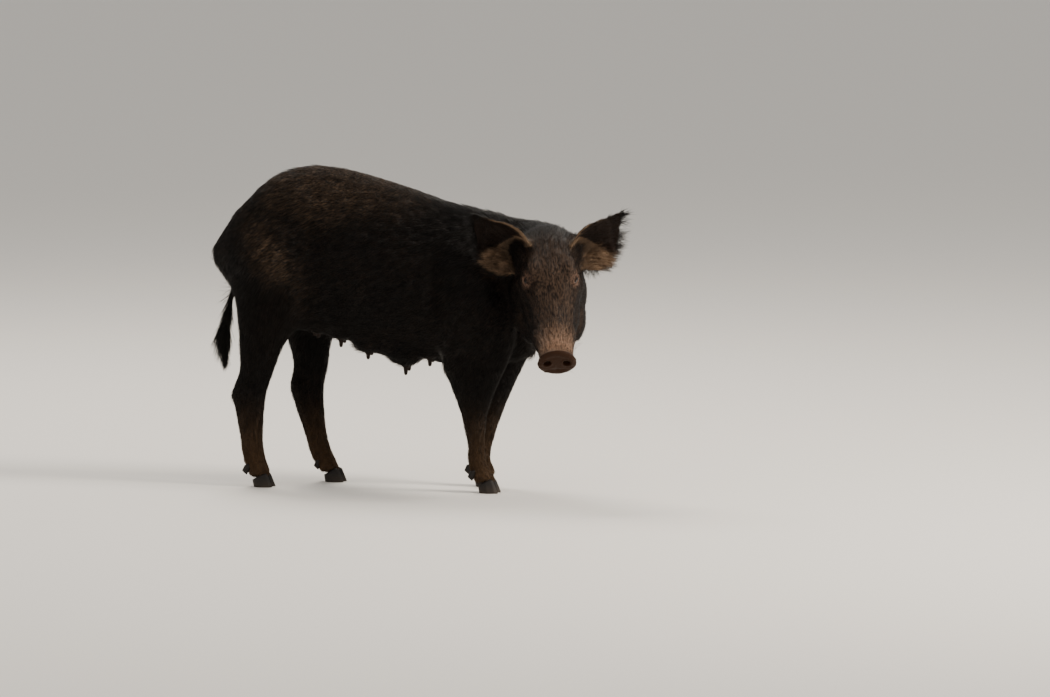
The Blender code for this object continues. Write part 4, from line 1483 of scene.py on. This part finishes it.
@dataclass
class Coat:
    """Her bristles: short and close on the face, longer on the body, long on mane and tail."""

    skin: Skin
    scalp: Scalp
    material: bpy.types.Material
    body: Strand = Strand(0.025, 0.00085, 13, 0.55, 0.10, 0.30, 0.011, 0.40)
    belly: Strand = Strand(0.020, 0.00070, 15, 0.40, 0.20, 0.35, 0.012, 0.30)
    leg: Strand = Strand(0.0135, 0.00065, 11, 0.15, 0.11, 0.30, 0.008, 0.28, 1)
    foot: Strand = Strand(0.0085, 0.00052, 13, 0.15, 0.14, 0.30, 0.006, 0.22, 1)
    face: Strand = Strand(0.0100, 0.00050, 14, 0.15, 0.13, 0.35, 0.0030, 0.22, 1, 1.4)
    muzzle: Strand = Strand(0.0055, 0.00036, 18, 0.15, 0.20, 0.35, 0.002, 0.10, 1, 1.2)
    ear_back: Strand = Strand(0.0105, 0.00048, 12, 0.15, 0.18, 0.35, 0.006, 0.25, 1, 1.2)
    ear_lining: Strand = Strand(0.0180, 0.00045, 24, 0.35, 0.26, 0.40, 0.007, 0.35, 2, 1.5)
    fringe: Strand = Strand(0.0225, 0.00048, 8, 0.05, 0.12, 0.45, 0.0016, 0.05, 3, 0.6)
    mane: Strand = Strand(0.030, 0.00075, 17, 0.45, 0.12, 0.35, 0.012, 0.40, 3)
    brush: Strand = Strand(0.050, 0.00080, 9, 0.10, 0.10, 0.30, 0.007, 0.35, 3)
    whisker: Strand = Strand(0.024, 0.00040, 34, 0.25, 0.30, 0.35, 0.002, 0.0, 3)
    lash: Strand = Strand(0.0125, 0.00050, 36, 0.45, 0.16, 0.25, 0.003, 0.15, 3, 0.4)
    lashes: int = 30  # on each upper lid
    fringes: int = 3400  # tufts along the edges of the ears
    ear_span: float = 0.17  # how far from its root an ear's fringe and low tufts grow
    fore_end: float = -0.06  # where the body's front pieces of coat meet the rear ones
    right: Array = field(init=False)  # which points of the skin are on her right

    def _piece(self, name: str, rows: list[tuple[int, Array, Strand, Array | None]]) -> Tufts:
        """Start one piece of coat.

        Args:
            name: Its name.
            rows: Counts of tufts, weights over the skin, strands, and lengths over the skin.

        Returns:
            The tufts, not yet joined.
        """
        tufts = Tufts(name, self.scalp)
        for count, weights, strand, lengths in rows:
            if lengths is not None:
                self.skin.marks["length"] = lengths
            roots = self.scalp.sow(count, weights)
            self.skin.marks.pop("length", None)
            tufts.grow(roots, strand, roots.marks.pop("length", 1.0))
        return tufts

    def build(self) -> None:
        """Lay the coat over the whole skin."""
        self.right = self.skin.surface.points[:, 1] < middle_plane()
        self._trunk()
        self._legs()
        self._head()
        self._ears()
        self._bristles()

    def _trunk(self) -> None:
        """The body's coat, in four pieces."""
        skin, masks = self.skin, self.skin.masks
        points, normals = skin.surface.points, skin.surface.normals()
        up = normals[:, 2]
        trunk = skin.share(*BODY) * (1 - skin.marks["teat"])
        under = ramp(-up, 0.35, 0.8) * ramp(-points[:, 2], -0.40, -0.33)
        over = trunk * (1 - 0.75 * under)
        tall = 0.85 + 0.25 * ramp(up, 0.2, 0.9) + 0.15 * masks[Region.NECK]
        fore = points[:, 0] > self.fore_end
        for side, beside in (("right", self.right), ("left", ~self.right)):
            for end, along in (("fore", fore), ("rear", ~fore)):
                own = beside & along
                rows = [
                    (15300, over * own, self.body, tall),
                    (1300, trunk * under * own, self.belly, None),
                ]
                self._piece(f"coat_{side}_{end}", rows).finish(self.material)

    def _legs(self) -> None:
        """The legs' coat, in two pieces."""
        masks = self.skin.masks
        legs = masks[Region.LEG] + 1.2 * masks[Region.SHANK]
        upper = 1.0 + 0.7 * ramp(self.skin.surface.points[:, 2], 0.22, 0.38)
        for side, own in (("right", self.right), ("left", ~self.right)):
            rows = [
                (26500, legs * own, self.leg, upper),
                (9000, masks[Region.FOOT] * own, self.foot, None),
            ]
            self._piece(f"coat_{side}_legs", rows).finish(self.material)

    def _head(self) -> None:
        """The face's coat in two halves, with the lashes."""
        skin, marks = self.skin, self.skin.marks
        places = skin.head.local(skin.surface.points)
        bare = 1 - np.clip(marks["disc"] * 1.5 + 0.7 * marks["lid"], 0, 1)
        whole = skin.share(*FACE) * bare
        face, snout = whole * (1 - 0.75 * marks["muzzle"]), whole * marks["muzzle"]
        longer = 0.70 + 0.85 * ramp(places[:, 0], 0.13, 0.0) + 0.35 * skin.share(Region.JAW)
        for side, sign in SIDES.items():
            own = places[:, 2] * sign > 0
            rows = [
                (36000, face * own, self.face, longer * (1 - 0.5 * marks["lid"])),
                (5500, snout * own, self.muzzle, None),
            ]
            tufts = self._piece(f"coat_{side}_face", rows)
            at, outward = skin.lids.edge(side, np.linspace(0.06, 0.44, self.lashes), 0.0009)
            lashes = self.scalp.plant(at, np.tile(skin.head.looks(side), (self.lashes, 1)), outward)
            lashes.unmarked()
            tufts.grow(lashes, self.lash)
            tufts.finish(self.material)

    def _ears(self) -> None:
        """The ears' backs, linings and fringes."""
        skin, marks = self.skin, self.skin.marks
        points = skin.surface.points
        ear, lined = skin.masks[Region.EAR], marks["ear_inside"]
        low, edge = np.zeros(len(points)), np.zeros(len(points))
        for one in skin.ears:
            own = one.local(points)
            share = own[:, 1] / one.half_width(own[:, 0], True)
            near = (np.linalg.norm(own, axis=1) < self.ear_span) * ear
            low += near * ramp(own[:, 0], 0.085, 0.02) * ramp(share, -0.2, 0.5)
            edge += near * ramp(share, 0.72, 0.92)
            edge += near * ramp(own[:, 0], 0.095, 0.125)
        lined_weights = ear * lined * (0.35 + low) * (1 - marks["canal"])
        rows = [
            (11000, ear * (1 - lined), self.ear_back, None),
            (5200, lined_weights, self.ear_lining, 0.5 + 0.7 * low),
        ]
        tufts = self._piece("coat_ears", rows)
        count = self.fringes
        fringe = self.scalp.sow(count, np.clip(edge, 0, 1))
        for one in skin.ears:
            own = one.local(fringe.at)
            this = (np.linalg.norm(own, axis=1) < self.ear_span)[:, None]
            fringe.lie = np.where(this, unit(fringe.lie + 0.9 * one.axes[1]), fringe.lie)
        fringe.unmarked()
        tufts.grow(fringe, self.fringe)
        tufts.finish(self.material)

    def _bristles(self) -> None:
        """The mane, tail, beard and whiskers."""
        skin, masks = self.skin, self.skin.masks
        points, normals = skin.surface.points, skin.surface.normals()
        x, z, up = points[:, 0], points[:, 2], normals[:, 2]
        crest = bell(points[:, 1], middle_plane(), 0.030) * ramp(up, 0.5, 0.9) * skin.share(*BODY)
        crest = crest * ramp(x, -0.30, 0.0)
        nape = masks[Region.NECK] * ramp(up, 0.3, 0.8)
        tail = masks[Region.TAIL]
        switch = np.clip((z - 0.248) / 0.05, 0.1, 1.1)  # shorter towards its end
        chin = masks[Region.JAW] * ramp(normals @ skin.head.axes[1], -0.2, -0.8)
        ahead = skin.head.local(points)[:, 0]
        lips = skin.marks["muzzle"] + ramp(ahead, 0.22, 0.30) * masks[Region.SNOUT]
        lips = lips * (1 - skin.marks["disc"])
        rows = [
            (2300, crest + 0.8 * nape, self.mane, 0.6 + 0.4 * ramp(x, -0.1, 0.15)),
            (2600, tail, self.leg, None),
            (2100, tail * ramp(z, 0.43, 0.34), self.brush, switch),
            (300, chin, self.whisker, None),
            (150, lips, self.whisker, None),
        ]
        self._piece("coat_long_bristles", rows).finish(self.material)


# ------------------------------------------------------------
# Finishes.


def add_node(
    tree: bpy.types.NodeTree, kind: str, settings: dict[str | int, object] | None = None
) -> bpy.types.Node:
    """Add a node with its settings and links.

    Args:
        tree: The node tree.
        kind: The node's type, without its ShaderNode prefix.
        settings: Values by the name of a property, or by the name or number of an input. What an
            input gets is a value, the hex code of a colour, or the output that feeds it.

    Returns:
        The node.
    """
    node = tree.nodes.new(f"ShaderNode{kind}")
    for key, value in (settings or {}).items():
        if isinstance(value, Socket):
            tree.links.new(value, node.inputs[key])
        elif isinstance(key, int) or (key in node.inputs and not hasattr(node, key)):
            node.inputs[key].default_value = linear(value) if isinstance(value, str) else value
        else:
            setattr(node, key, value)
    return node


def new_material(name: str) -> tuple[bpy.types.Material, bpy.types.NodeTree]:
    """A material with an empty node tree."""
    material = bpy.data.materials.new(name)
    material.use_nodes = True
    material.node_tree.nodes.clear()
    return material, material.node_tree


# What the nodes that multiply numbers, and those that mix colours, are set to.
TIMES = {"operation": "MULTIPLY", "use_clamp": True}
COLOURS = {"data_type": "RGBA"}


@dataclass(frozen=True)
class Patch:
    """A colour of its own where the skin has a mark."""

    mark: str
    colour: str
    strength: float  # how much of it shows where the mark is full


@dataclass(frozen=True)
class Markings:
    """The colours of her skin and hair, alike on both."""

    black: str = "#090706"
    glint: str = "#271c15"  # painted glints in the black of the body, partly its own brown
    brown: str = "#5a4838"  # painted sheen on the haunches, hips and back
    patches: tuple[Patch, ...] = (
        Patch("face", "#2b221c", 0.80),
        # painted highlight on the upward-facing forehead and nose, partly greyer hair
        Patch("ridge", "#4e3d31", 0.85),
        Patch("muzzle", "#a1816a", 0.92),
        Patch("lid", "#74594a", 0.70),
        Patch("ear_inside", "#150c07", 0.90),
        Patch("ear_low", "#28190f", 0.50),
        # painted highlight along the ears' front rims
        Patch("ear_rim_highlight", "#745e4a", 0.70),
        # painted shade at the bottom of each ear's bowl
        Patch("canal", "#0a0605", 0.60),
        Patch("foot", "#59432e", 0.62),  # dust low on the legs, and painted sheen on the cannons
        Patch("teat", "#241b17", 0.90),
        Patch("disc", "#29170b", 1.0),
    )

    def colour(self, tree: bpy.types.NodeTree) -> Socket:
        """The colour at each place.

        Args:
            tree: The material's nodes.

        Returns:
            A colour socket.
        """
        place = add_node(tree, "TexCoord").outputs["Object"]
        # Hairs lie back and down the body, so its streaks are about 2 mm across and 17 mm long.
        fine = self._streaks(tree, place, (0.0, -26.0, 0.0), 8.0, 450.0, (0.40, 0.70))
        broad = add_node(tree, "TexNoise", {"Scale": 7.0, "Detail": 1.0, "Vector": place}).outputs[0]
        broad = add_node(tree, "MapRange", {0: broad, 1: 0.38, 2: 0.62, 3: 0.15, 4: 0.50}).outputs[0]
        # Brown streaks over the black: painted glints, and partly the coat's own brown.
        share = add_node(tree, "Math", {**TIMES, 0: fine, 1: broad}).outputs[0]
        mix = {**COLOURS, 0: share, 6: self.black, 7: self.glint}
        colour = add_node(tree, "Mix", mix).outputs[2]
        # Black hairs run through the grey of the face, along the head.
        dark = self._streaks(tree, place, (1.5, 39.0, -70.0), 7.0, 330.0, (0.56, 0.40))
        for mark, strength, laid in (
            ("painted_sheen", fine, self.brown),
            *((patch.mark, patch.strength, patch.colour) for patch in self.patches),
            ("streaked", dark, self.black),
        ):
            share = add_node(tree, "Attribute", {"attribute_name": mark}).outputs["Fac"]
            share = add_node(tree, "Math", {**TIMES, 0: share, 1: strength}).outputs[0]
            colour = add_node(tree, "Mix", {**COLOURS, 0: share, 6: colour, 7: laid}).outputs[2]
        return colour

    @staticmethod
    def _streaks(
        tree: bpy.types.NodeTree,
        place: Socket,
        turn: Triple,
        stretch: float,
        scale: float,
        limits: Pair,
    ) -> Socket:
        """Long, thin patches, from 0 to 1.

        Args:
            tree: The material's nodes.
            place: The coordinates.
            turn: Degrees that turn +X to the way the patches run.
            stretch: How much longer than wide they are.
            scale: How many there are in a metre across.
            limits: Values of the noise that become 0 and 1.

        Returns:
            A number socket.
        """
        turned = {"vector_type": "TEXTURE", "Rotation": tuple(map(math.radians, turn))}
        turned |= {"Scale": (stretch, 1.0, 1.0), "Vector": place}
        along = add_node(tree, "Mapping", turned).outputs[0]
        noise = add_node(tree, "TexNoise", {"Scale": scale, "Detail": 2.0, "Vector": along})
        ends = {0: noise.outputs[0], 1: limits[0], 2: limits[1]}
        return add_node(tree, "MapRange", ends).outputs[0]


@dataclass(frozen=True)
class Hide:
    """Pigskin under the coat: matt, finely creased, moist on the rooting disc."""

    markings: Markings
    ior: float = 1.42
    gloss: float = 0.13
    roughness: float = 0.60
    moist: float = 0.42  # the disc's roughness

    def material(self) -> bpy.types.Material:
        """The finish, with hair-fine streaks and creases that catch the light."""
        material, tree = new_material("black_pigskin")
        place = add_node(tree, "TexCoord").outputs["Object"]
        # Short hair between the tufts, about 1.5 mm apart, drawn coarser than it is.
        lie = {"Rotation": (0.0, math.radians(-30.0), 0.0), "Scale": (0.15, 1.0, 1.0)}
        along = add_node(tree, "Mapping", {**lie, "Vector": place}).outputs[0]
        hair = add_node(tree, "TexNoise", {"Scale": 650.0, "Detail": 2.0, "Vector": along}).outputs[0]
        hair = add_node(tree, "Math", {**TIMES, 0: hair, 1: 0.6}).outputs[0]
        # Creases about 3 mm apart, which show where the skin is bare.
        cells = {"Scale": 330.0, "feature": "DISTANCE_TO_EDGE", "Vector": place}
        crease = add_node(tree, "TexVoronoi", cells).outputs[0]
        crease = add_node(tree, "MapRange", {0: crease, 1: 0.0, 2: 0.25}).outputs[0]
        crease = add_node(tree, "Math", {**TIMES, 0: crease, 1: 0.4}).outputs[0]
        height = add_node(tree, "Math", {**TIMES, "operation": "ADD", 0: hair, 1: crease}).outputs[0]
        bump = add_node(tree, "Bump", {"Strength": 0.35, "Distance": 0.0012, "Height": height})
        disc = add_node(tree, "Attribute", {"attribute_name": "disc"}).outputs["Fac"]
        rough = {0: disc, 1: 0.0, 2: 1.0, 3: self.roughness, 4: self.moist}
        skin = {
            "Base Color": self.markings.colour(tree),
            "IOR": self.ior,
            "Specular IOR Level": self.gloss,
            "Roughness": add_node(tree, "MapRange", rough).outputs[0],
            "Normal": bump.outputs[0],
        }
        shader = add_node(tree, "BsdfPrincipled", skin)
        add_node(tree, "OutputMaterial", {"Surface": shader.outputs[0]})
        return material


@dataclass(frozen=True)
class LidMargin:
    """The bare, dark edge of an eyelid, kept moist by tears."""

    dark: str = "#120c0a"
    light: str = "#2a1b16"
    roughness: float = 0.28

    def material(self) -> bpy.types.Material:
        """The finish, with small unevenness that breaks its shine."""
        material, tree = new_material("moist_lid_skin")
        place = add_node(tree, "TexCoord").outputs["Object"]
        grain = add_node(tree, "TexNoise", {"Scale": 900.0, "Detail": 2.0, "Vector": place}).outputs[0]
        bump = add_node(tree, "Bump", {"Strength": 0.3, "Distance": 0.0003, "Height": grain})
        lid = {
            "Base Color": add_node(
                tree, "Mix", {**COLOURS, 0: grain, 6: self.dark, 7: self.light}
            ).outputs[2],
            "Roughness": self.roughness,
            "Normal": bump.outputs[0],
        }
        shader = add_node(tree, "BsdfPrincipled", lid)
        add_node(tree, "OutputMaterial", {"Surface": shader.outputs[0]})
        return material


@dataclass(frozen=True)
class Bristle:
    """Coarse pig bristle: hard, smooth keratin that gives narrow glints on black."""

    markings: Markings
    ior: float = 1.55
    gloss: float = 0.16  # much less than one bristle's, because light is lost between them
    roughness: float = 0.42

    def material(self) -> bpy.types.Material:
        """The finish, darker at the root and browner towards the tip."""
        material, tree = new_material("pig_bristle")
        shades = []
        for mark, ends in (
            ("tone", {1: 0.15, 2: 0.95, 3: 0.45, 4: 2.0}),
            ("tip", {1: 0.0, 2: 1.0, 3: 0.60, 4: 1.30}),
        ):
            share = add_node(tree, "Attribute", {"attribute_name": mark}).outputs["Fac"]
            shades.append(add_node(tree, "MapRange", {0: share, **ends}).outputs[0])
        product = {"operation": "MULTIPLY", 0: shades[0], 1: shades[1]}
        value = add_node(tree, "Math", product).outputs[0]
        lit = add_node(
            tree, "HueSaturation", {"Value": value, "Color": self.markings.colour(tree)}
        )
        bristle = {"Base Color": lit.outputs[0], "IOR": self.ior, "Roughness": self.roughness}
        bristle["Specular IOR Level"] = self.gloss
        shader = add_node(tree, "BsdfPrincipled", bristle)
        add_node(tree, "OutputMaterial", {"Surface": shader.outputs[0]})
        return material


@dataclass(frozen=True)
class ClawHorn:
    """Claw horn: grown downwards in fine lines, worn dull and dusted by dry soil."""

    horn: str = "#0f0c0a"
    worn: str = "#1d1713"
    dust: str = "#41362a"
    dusty: float = 0.020  # how high off the ground the dust reaches
    gloss: float = 0.28
    roughness: float = 0.62

    def material(self) -> bpy.types.Material:
        """The finish, paler towards the ground."""
        material, tree = new_material("claw_horn")
        place = add_node(tree, "TexCoord").outputs["Object"]
        down = add_node(tree, "Mapping", {"Scale": (1.0, 1.0, 0.12), "Vector": place}).outputs[0]
        grain = add_node(tree, "TexNoise", {"Scale": 420.0, "Detail": 2.0, "Vector": down}).outputs[0]
        height = add_node(tree, "SeparateXYZ", {0: place}).outputs["Z"]
        low = add_node(tree, "MapRange", {0: height, 1: self.dusty, 2: 0.0, 3: 0.0, 4: 0.9}).outputs[0]
        soil = add_node(tree, "TexNoise", {"Scale": 60.0, "Detail": 3.0, "Vector": place}).outputs[0]
        soil = add_node(tree, "Math", {**TIMES, 0: low, 1: soil}).outputs[0]
        colour = self.horn
        for share, laid in ((grain, self.worn), (soil, self.dust)):
            colour = add_node(tree, "Mix", {**COLOURS, 0: share, 6: colour, 7: laid}).outputs[2]
        bump = add_node(tree, "Bump", {"Strength": 0.4, "Distance": 0.0006, "Height": grain})
        horn = {"Base Color": colour, "Roughness": self.roughness, "Normal": bump.outputs[0]}
        horn["Specular IOR Level"] = self.gloss
        shader = add_node(tree, "BsdfPrincipled", horn)
        add_node(tree, "OutputMaterial", {"Surface": shader.outputs[0]})
        return material


@dataclass(frozen=True)
class WetEye:
    """A wet eyeball: a wide dark pupil, a brown iris and a little dull white at the corners."""

    pupil: str = "#030202"
    iris: str = "#2e1a0f"
    iris_edge: str = "#0d0705"
    white: str = "#38271f"
    roughness: float = 0.07
    ior: float = 1.36
    gloss: float = 0.25

    def material(self) -> bpy.types.Material:
        """The finish, read from each point's place in front of the eye."""
        material, tree = new_material("wet_eye")
        front = add_node(tree, "Attribute", {"attribute_name": "front"}).outputs["Vector"]
        spans = []
        for scale in ((0.75, 1.35, 0.0), (1.0, 1.0, 0.0)):  # the pupil is wider than high
            place = add_node(tree, "Mapping", {"Scale": scale, "Vector": front}).outputs[0]
            span = add_node(tree, "VectorMath", {"operation": "LENGTH", 0: place})
            spans.append(span.outputs["Value"])
        pupil, ring = spans
        fleck = add_node(tree, "TexNoise", {"Scale": 9.0, "Detail": 3.0, "Vector": front}).outputs[0]
        mix = {**COLOURS, 0: fleck, 6: self.iris, 7: self.iris_edge}
        colour = add_node(tree, "Mix", mix).outputs[2]
        for span, begins, ends, inner, outer in (
            (ring, 0.45, 0.66, None, self.iris_edge),
            (pupil, 0.22, 0.30, self.pupil, None),
            (ring, 0.66, 0.74, None, self.white),
        ):
            share = add_node(tree, "MapRange", {0: span, 1: begins, 2: ends}).outputs[0]
            mix = {**COLOURS, 0: share, 6: inner or colour, 7: outer or colour}
            colour = add_node(tree, "Mix", mix).outputs[2]
        eye = {"Base Color": colour, "Roughness": self.roughness, "IOR": self.ior}
        eye["Specular IOR Level"] = self.gloss
        shader = add_node(tree, "BsdfPrincipled", eye)
        add_node(tree, "OutputMaterial", {"Surface": shader.outputs[0]})
        return material


# ------------------------------------------------------------
# Eyes and claws.


@dataclass
class Eyes:
    """Her two eyeballs, each with a slightly bulging cornea."""

    head: HeadFrame
    finish: WetEye
    bulge: float = 0.0008
    cornea: Pair = (0.74, 0.95)  # how far ahead in the eyeball it begins and is full

    def build(self) -> None:
        """Make both eyes."""
        material = self.finish.material()
        for side in SIDES:
            middle = sum(corners_of(f"{side}_eye")) / 2
            out = self.head.looks(side)
            along = unit(flattened(self.head.axes[0], out))
            up = np.cross(out, along)
            up = up * np.sign(up @ self.head.axes[1])
            bm = bmesh.new()
            bmesh.ops.create_uvsphere(bm, u_segments=48, v_segments=32, radius=self.head.eye_radius)
            places = np.array([vert.co for vert in bm.verts]) / self.head.eye_radius
            rise = self.bulge * ramp(places[:, 2:], *self.cornea)
            world = middle + places * (self.head.eye_radius + rise) @ np.array([along, up, out])
            for vert, co in zip(bm.verts, world):
                vert.co = co
            bmesh.ops.recalc_face_normals(bm, faces=bm.faces)
            obj = object_from(bm, f"{side}_eyeball")
            layer = obj.data.attributes.new("front", "FLOAT_VECTOR", "POINT")
            layer.data.foreach_set("vector", places.astype(np.float32).ravel())
            dress(obj, material, "eye", f"{side}_eye")


@dataclass
class Claws:
    """The claws and dewclaws, rounded at their edges and drawn in towards the coronet."""

    finish: ClawHorn
    edge: float = 0.0024
    taper: float = 0.22  # how much narrower a claw is at its coronet
    blunt: float = 0.68  # how much narrower a dewclaw is at its tip
    flatness: float = 4.0  # degrees between facets that are taken as one

    def _taper(self, bm: bmesh.types.BMesh, dewclaw: bool) -> None:
        """Draw a claw in towards its coronet, or a dewclaw towards its tip.

        Args:
            bm: The claw, which is changed.
            dewclaw: Whether it is a dewclaw.
        """
        heights = [vert.co.z for vert in bm.verts]
        low, high = min(heights), max(heights)
        middle = sum((vert.co for vert in bm.verts), Vector()) / len(bm.verts)
        for vert in bm.verts:
            share = (vert.co.z - low) / (high - low)
            if dewclaw:
                narrow = 1 - self.blunt * (1 - share) ** 2
            else:
                narrow = 1 - self.taper * float(ramp(np.array(share), 0.35, 1.0))
            vert.co.x = middle.x + (vert.co.x - middle.x) * (1 - (1 - narrow) * 0.6)
            vert.co.y = middle.y + (vert.co.y - middle.y) * narrow

    def build(self) -> None:
        """Make a rounded claw for each one of the solids."""
        material = self.finish.material()
        for name in sorted(n for n in frame["nodes"] if n.endswith("claw")):
            bm = bmesh.new()
            bm.from_mesh(frame["nodes"][name].data)
            bmesh.ops.remove_doubles(bm, verts=bm.verts, dist=1e-5)
            angle = math.radians(self.flatness)
            bmesh.ops.dissolve_limit(
                bm, angle_limit=angle, verts=bm.verts, edges=bm.edges, delimit=set()
            )
            dewclaw = "dewclaw" in name
            self._taper(bm, dewclaw)
            obj = object_from(bm, f"rounded_{name}")
            bevel = obj.modifiers.new("edges", "BEVEL")
            bevel.width = self.edge * (0.6 if dewclaw else 1.0)
            bevel.segments = 2
            bevel.limit_method = "ANGLE"
            bevel.angle_limit = math.radians(12)
            smooth = obj.modifiers.new("round", "SUBSURF")
            smooth.levels = smooth.render_levels = 2
            settle(obj)
            dress(obj, material, "claw_horn", name)


# ------------------------------------------------------------
# The studio.


@dataclass
class Studio:
    """A pale floor, soft lights, and the camera low on her right side."""

    azimuth: float = math.radians(15.0)
    elevation: float = math.radians(5.5)
    distance: float = 20.0
    frame_width: float = 2.226  # what the frame takes in, where she stands
    aim: Pair = (0.2455, 0.3034)  # the frame's middle, across and up from the origin
    floor_colour: str = "#e6e2db"
    lit_height: float = 0.35  # what the lights are aimed at, over the origin
    daylight: float = 0.62  # how bright the room is

    def build(self) -> None:
        """Set up the studio."""
        self._floor()
        self._lights()
        self._camera()

    def _floor(self) -> None:
        """A wide painted floor."""
        bm = bmesh.new()
        bmesh.ops.create_grid(bm, x_segments=1, y_segments=1, size=60.0)
        floor = object_from(bm, "studio_floor")
        material, tree = new_material("matt_floor_paint")
        paint = {"Base Color": self.floor_colour, "Roughness": 0.8}
        shader = add_node(tree, "BsdfPrincipled", paint)
        add_node(tree, "OutputMaterial", {"Surface": shader.outputs[0]})
        floor.data.materials.append(material)

    def _lights(self) -> None:
        """A key ahead of her, a weak fill and a rim behind her, and a bright room all round."""
        for name, at, size, power, tint in (  # metres and watts
            ("key", (4.0, -0.45, 3.1), 1.5, 300.0, (1.0, 0.92, 0.82)),
            ("fill", (-2.8, -3.6, 2.2), 2.4, 12.0, (1.0, 0.96, 0.92)),
            ("rim", (-1.6, 2.2, 4.0), 1.8, 150.0, (1.0, 0.93, 0.84)),
        ):
            light = bpy.data.lights.new(name, "AREA")
            light.energy, light.size, light.color = power, size, tint
            obj = linked(name, light)
            obj.location = at
            aim = Vector((0.0, 0.0, self.lit_height)) - obj.location
            obj.rotation_euler = aim.to_track_quat("-Z", "Y").to_euler()
        world = bpy.data.worlds.new("soft_room")
        world.use_nodes = True
        shade = world.node_tree.nodes["Background"]
        shade.inputs["Color"].default_value = (1.0, 0.98, 0.95, 1.0)
        shade.inputs["Strength"].default_value = self.daylight
        bpy.context.scene.world = world

    def _camera(self) -> None:
        """The camera, at the height and angle of someone standing some way off."""
        a, e = self.azimuth, self.elevation
        back = Vector((math.sin(a) * math.cos(e), -math.cos(a) * math.cos(e), math.sin(e)))
        across = Vector((math.cos(a), math.sin(a), 0.0))
        camera = bpy.data.cameras.new("camera")
        camera.lens = camera.sensor_width * self.distance / self.frame_width
        camera.clip_end = 200.0
        obj = linked("camera", camera)
        up = back.cross(across)
        obj.location = across * self.aim[0] + up * self.aim[1] + back * self.distance
        obj.rotation_euler = (-back).to_track_quat("-Z", "Y").to_euler()
        bpy.context.scene.camera = obj


def main() -> None:
    """Build and dress the sow in her studio."""
    logging.basicConfig(level=logging.INFO, format="%(relativeCreated)7d %(message)s")
    Studio().build()
    head = HeadFrame()
    ears = tuple(EarFrame(head, side) for side in SIDES)
    markings = Markings()
    skin = Skin(head, ears, Lids(head), Snout(), Teats())
    skin.build(Hide(markings).material())
    skin.lids.build(LidMargin().material())
    Eyes(head, WetEye()).build()
    Claws(ClawHorn()).build()
    Coat(skin, Scalp(skin), Bristle(markings).material()).build()


if __name__ == "__main__":
    main()
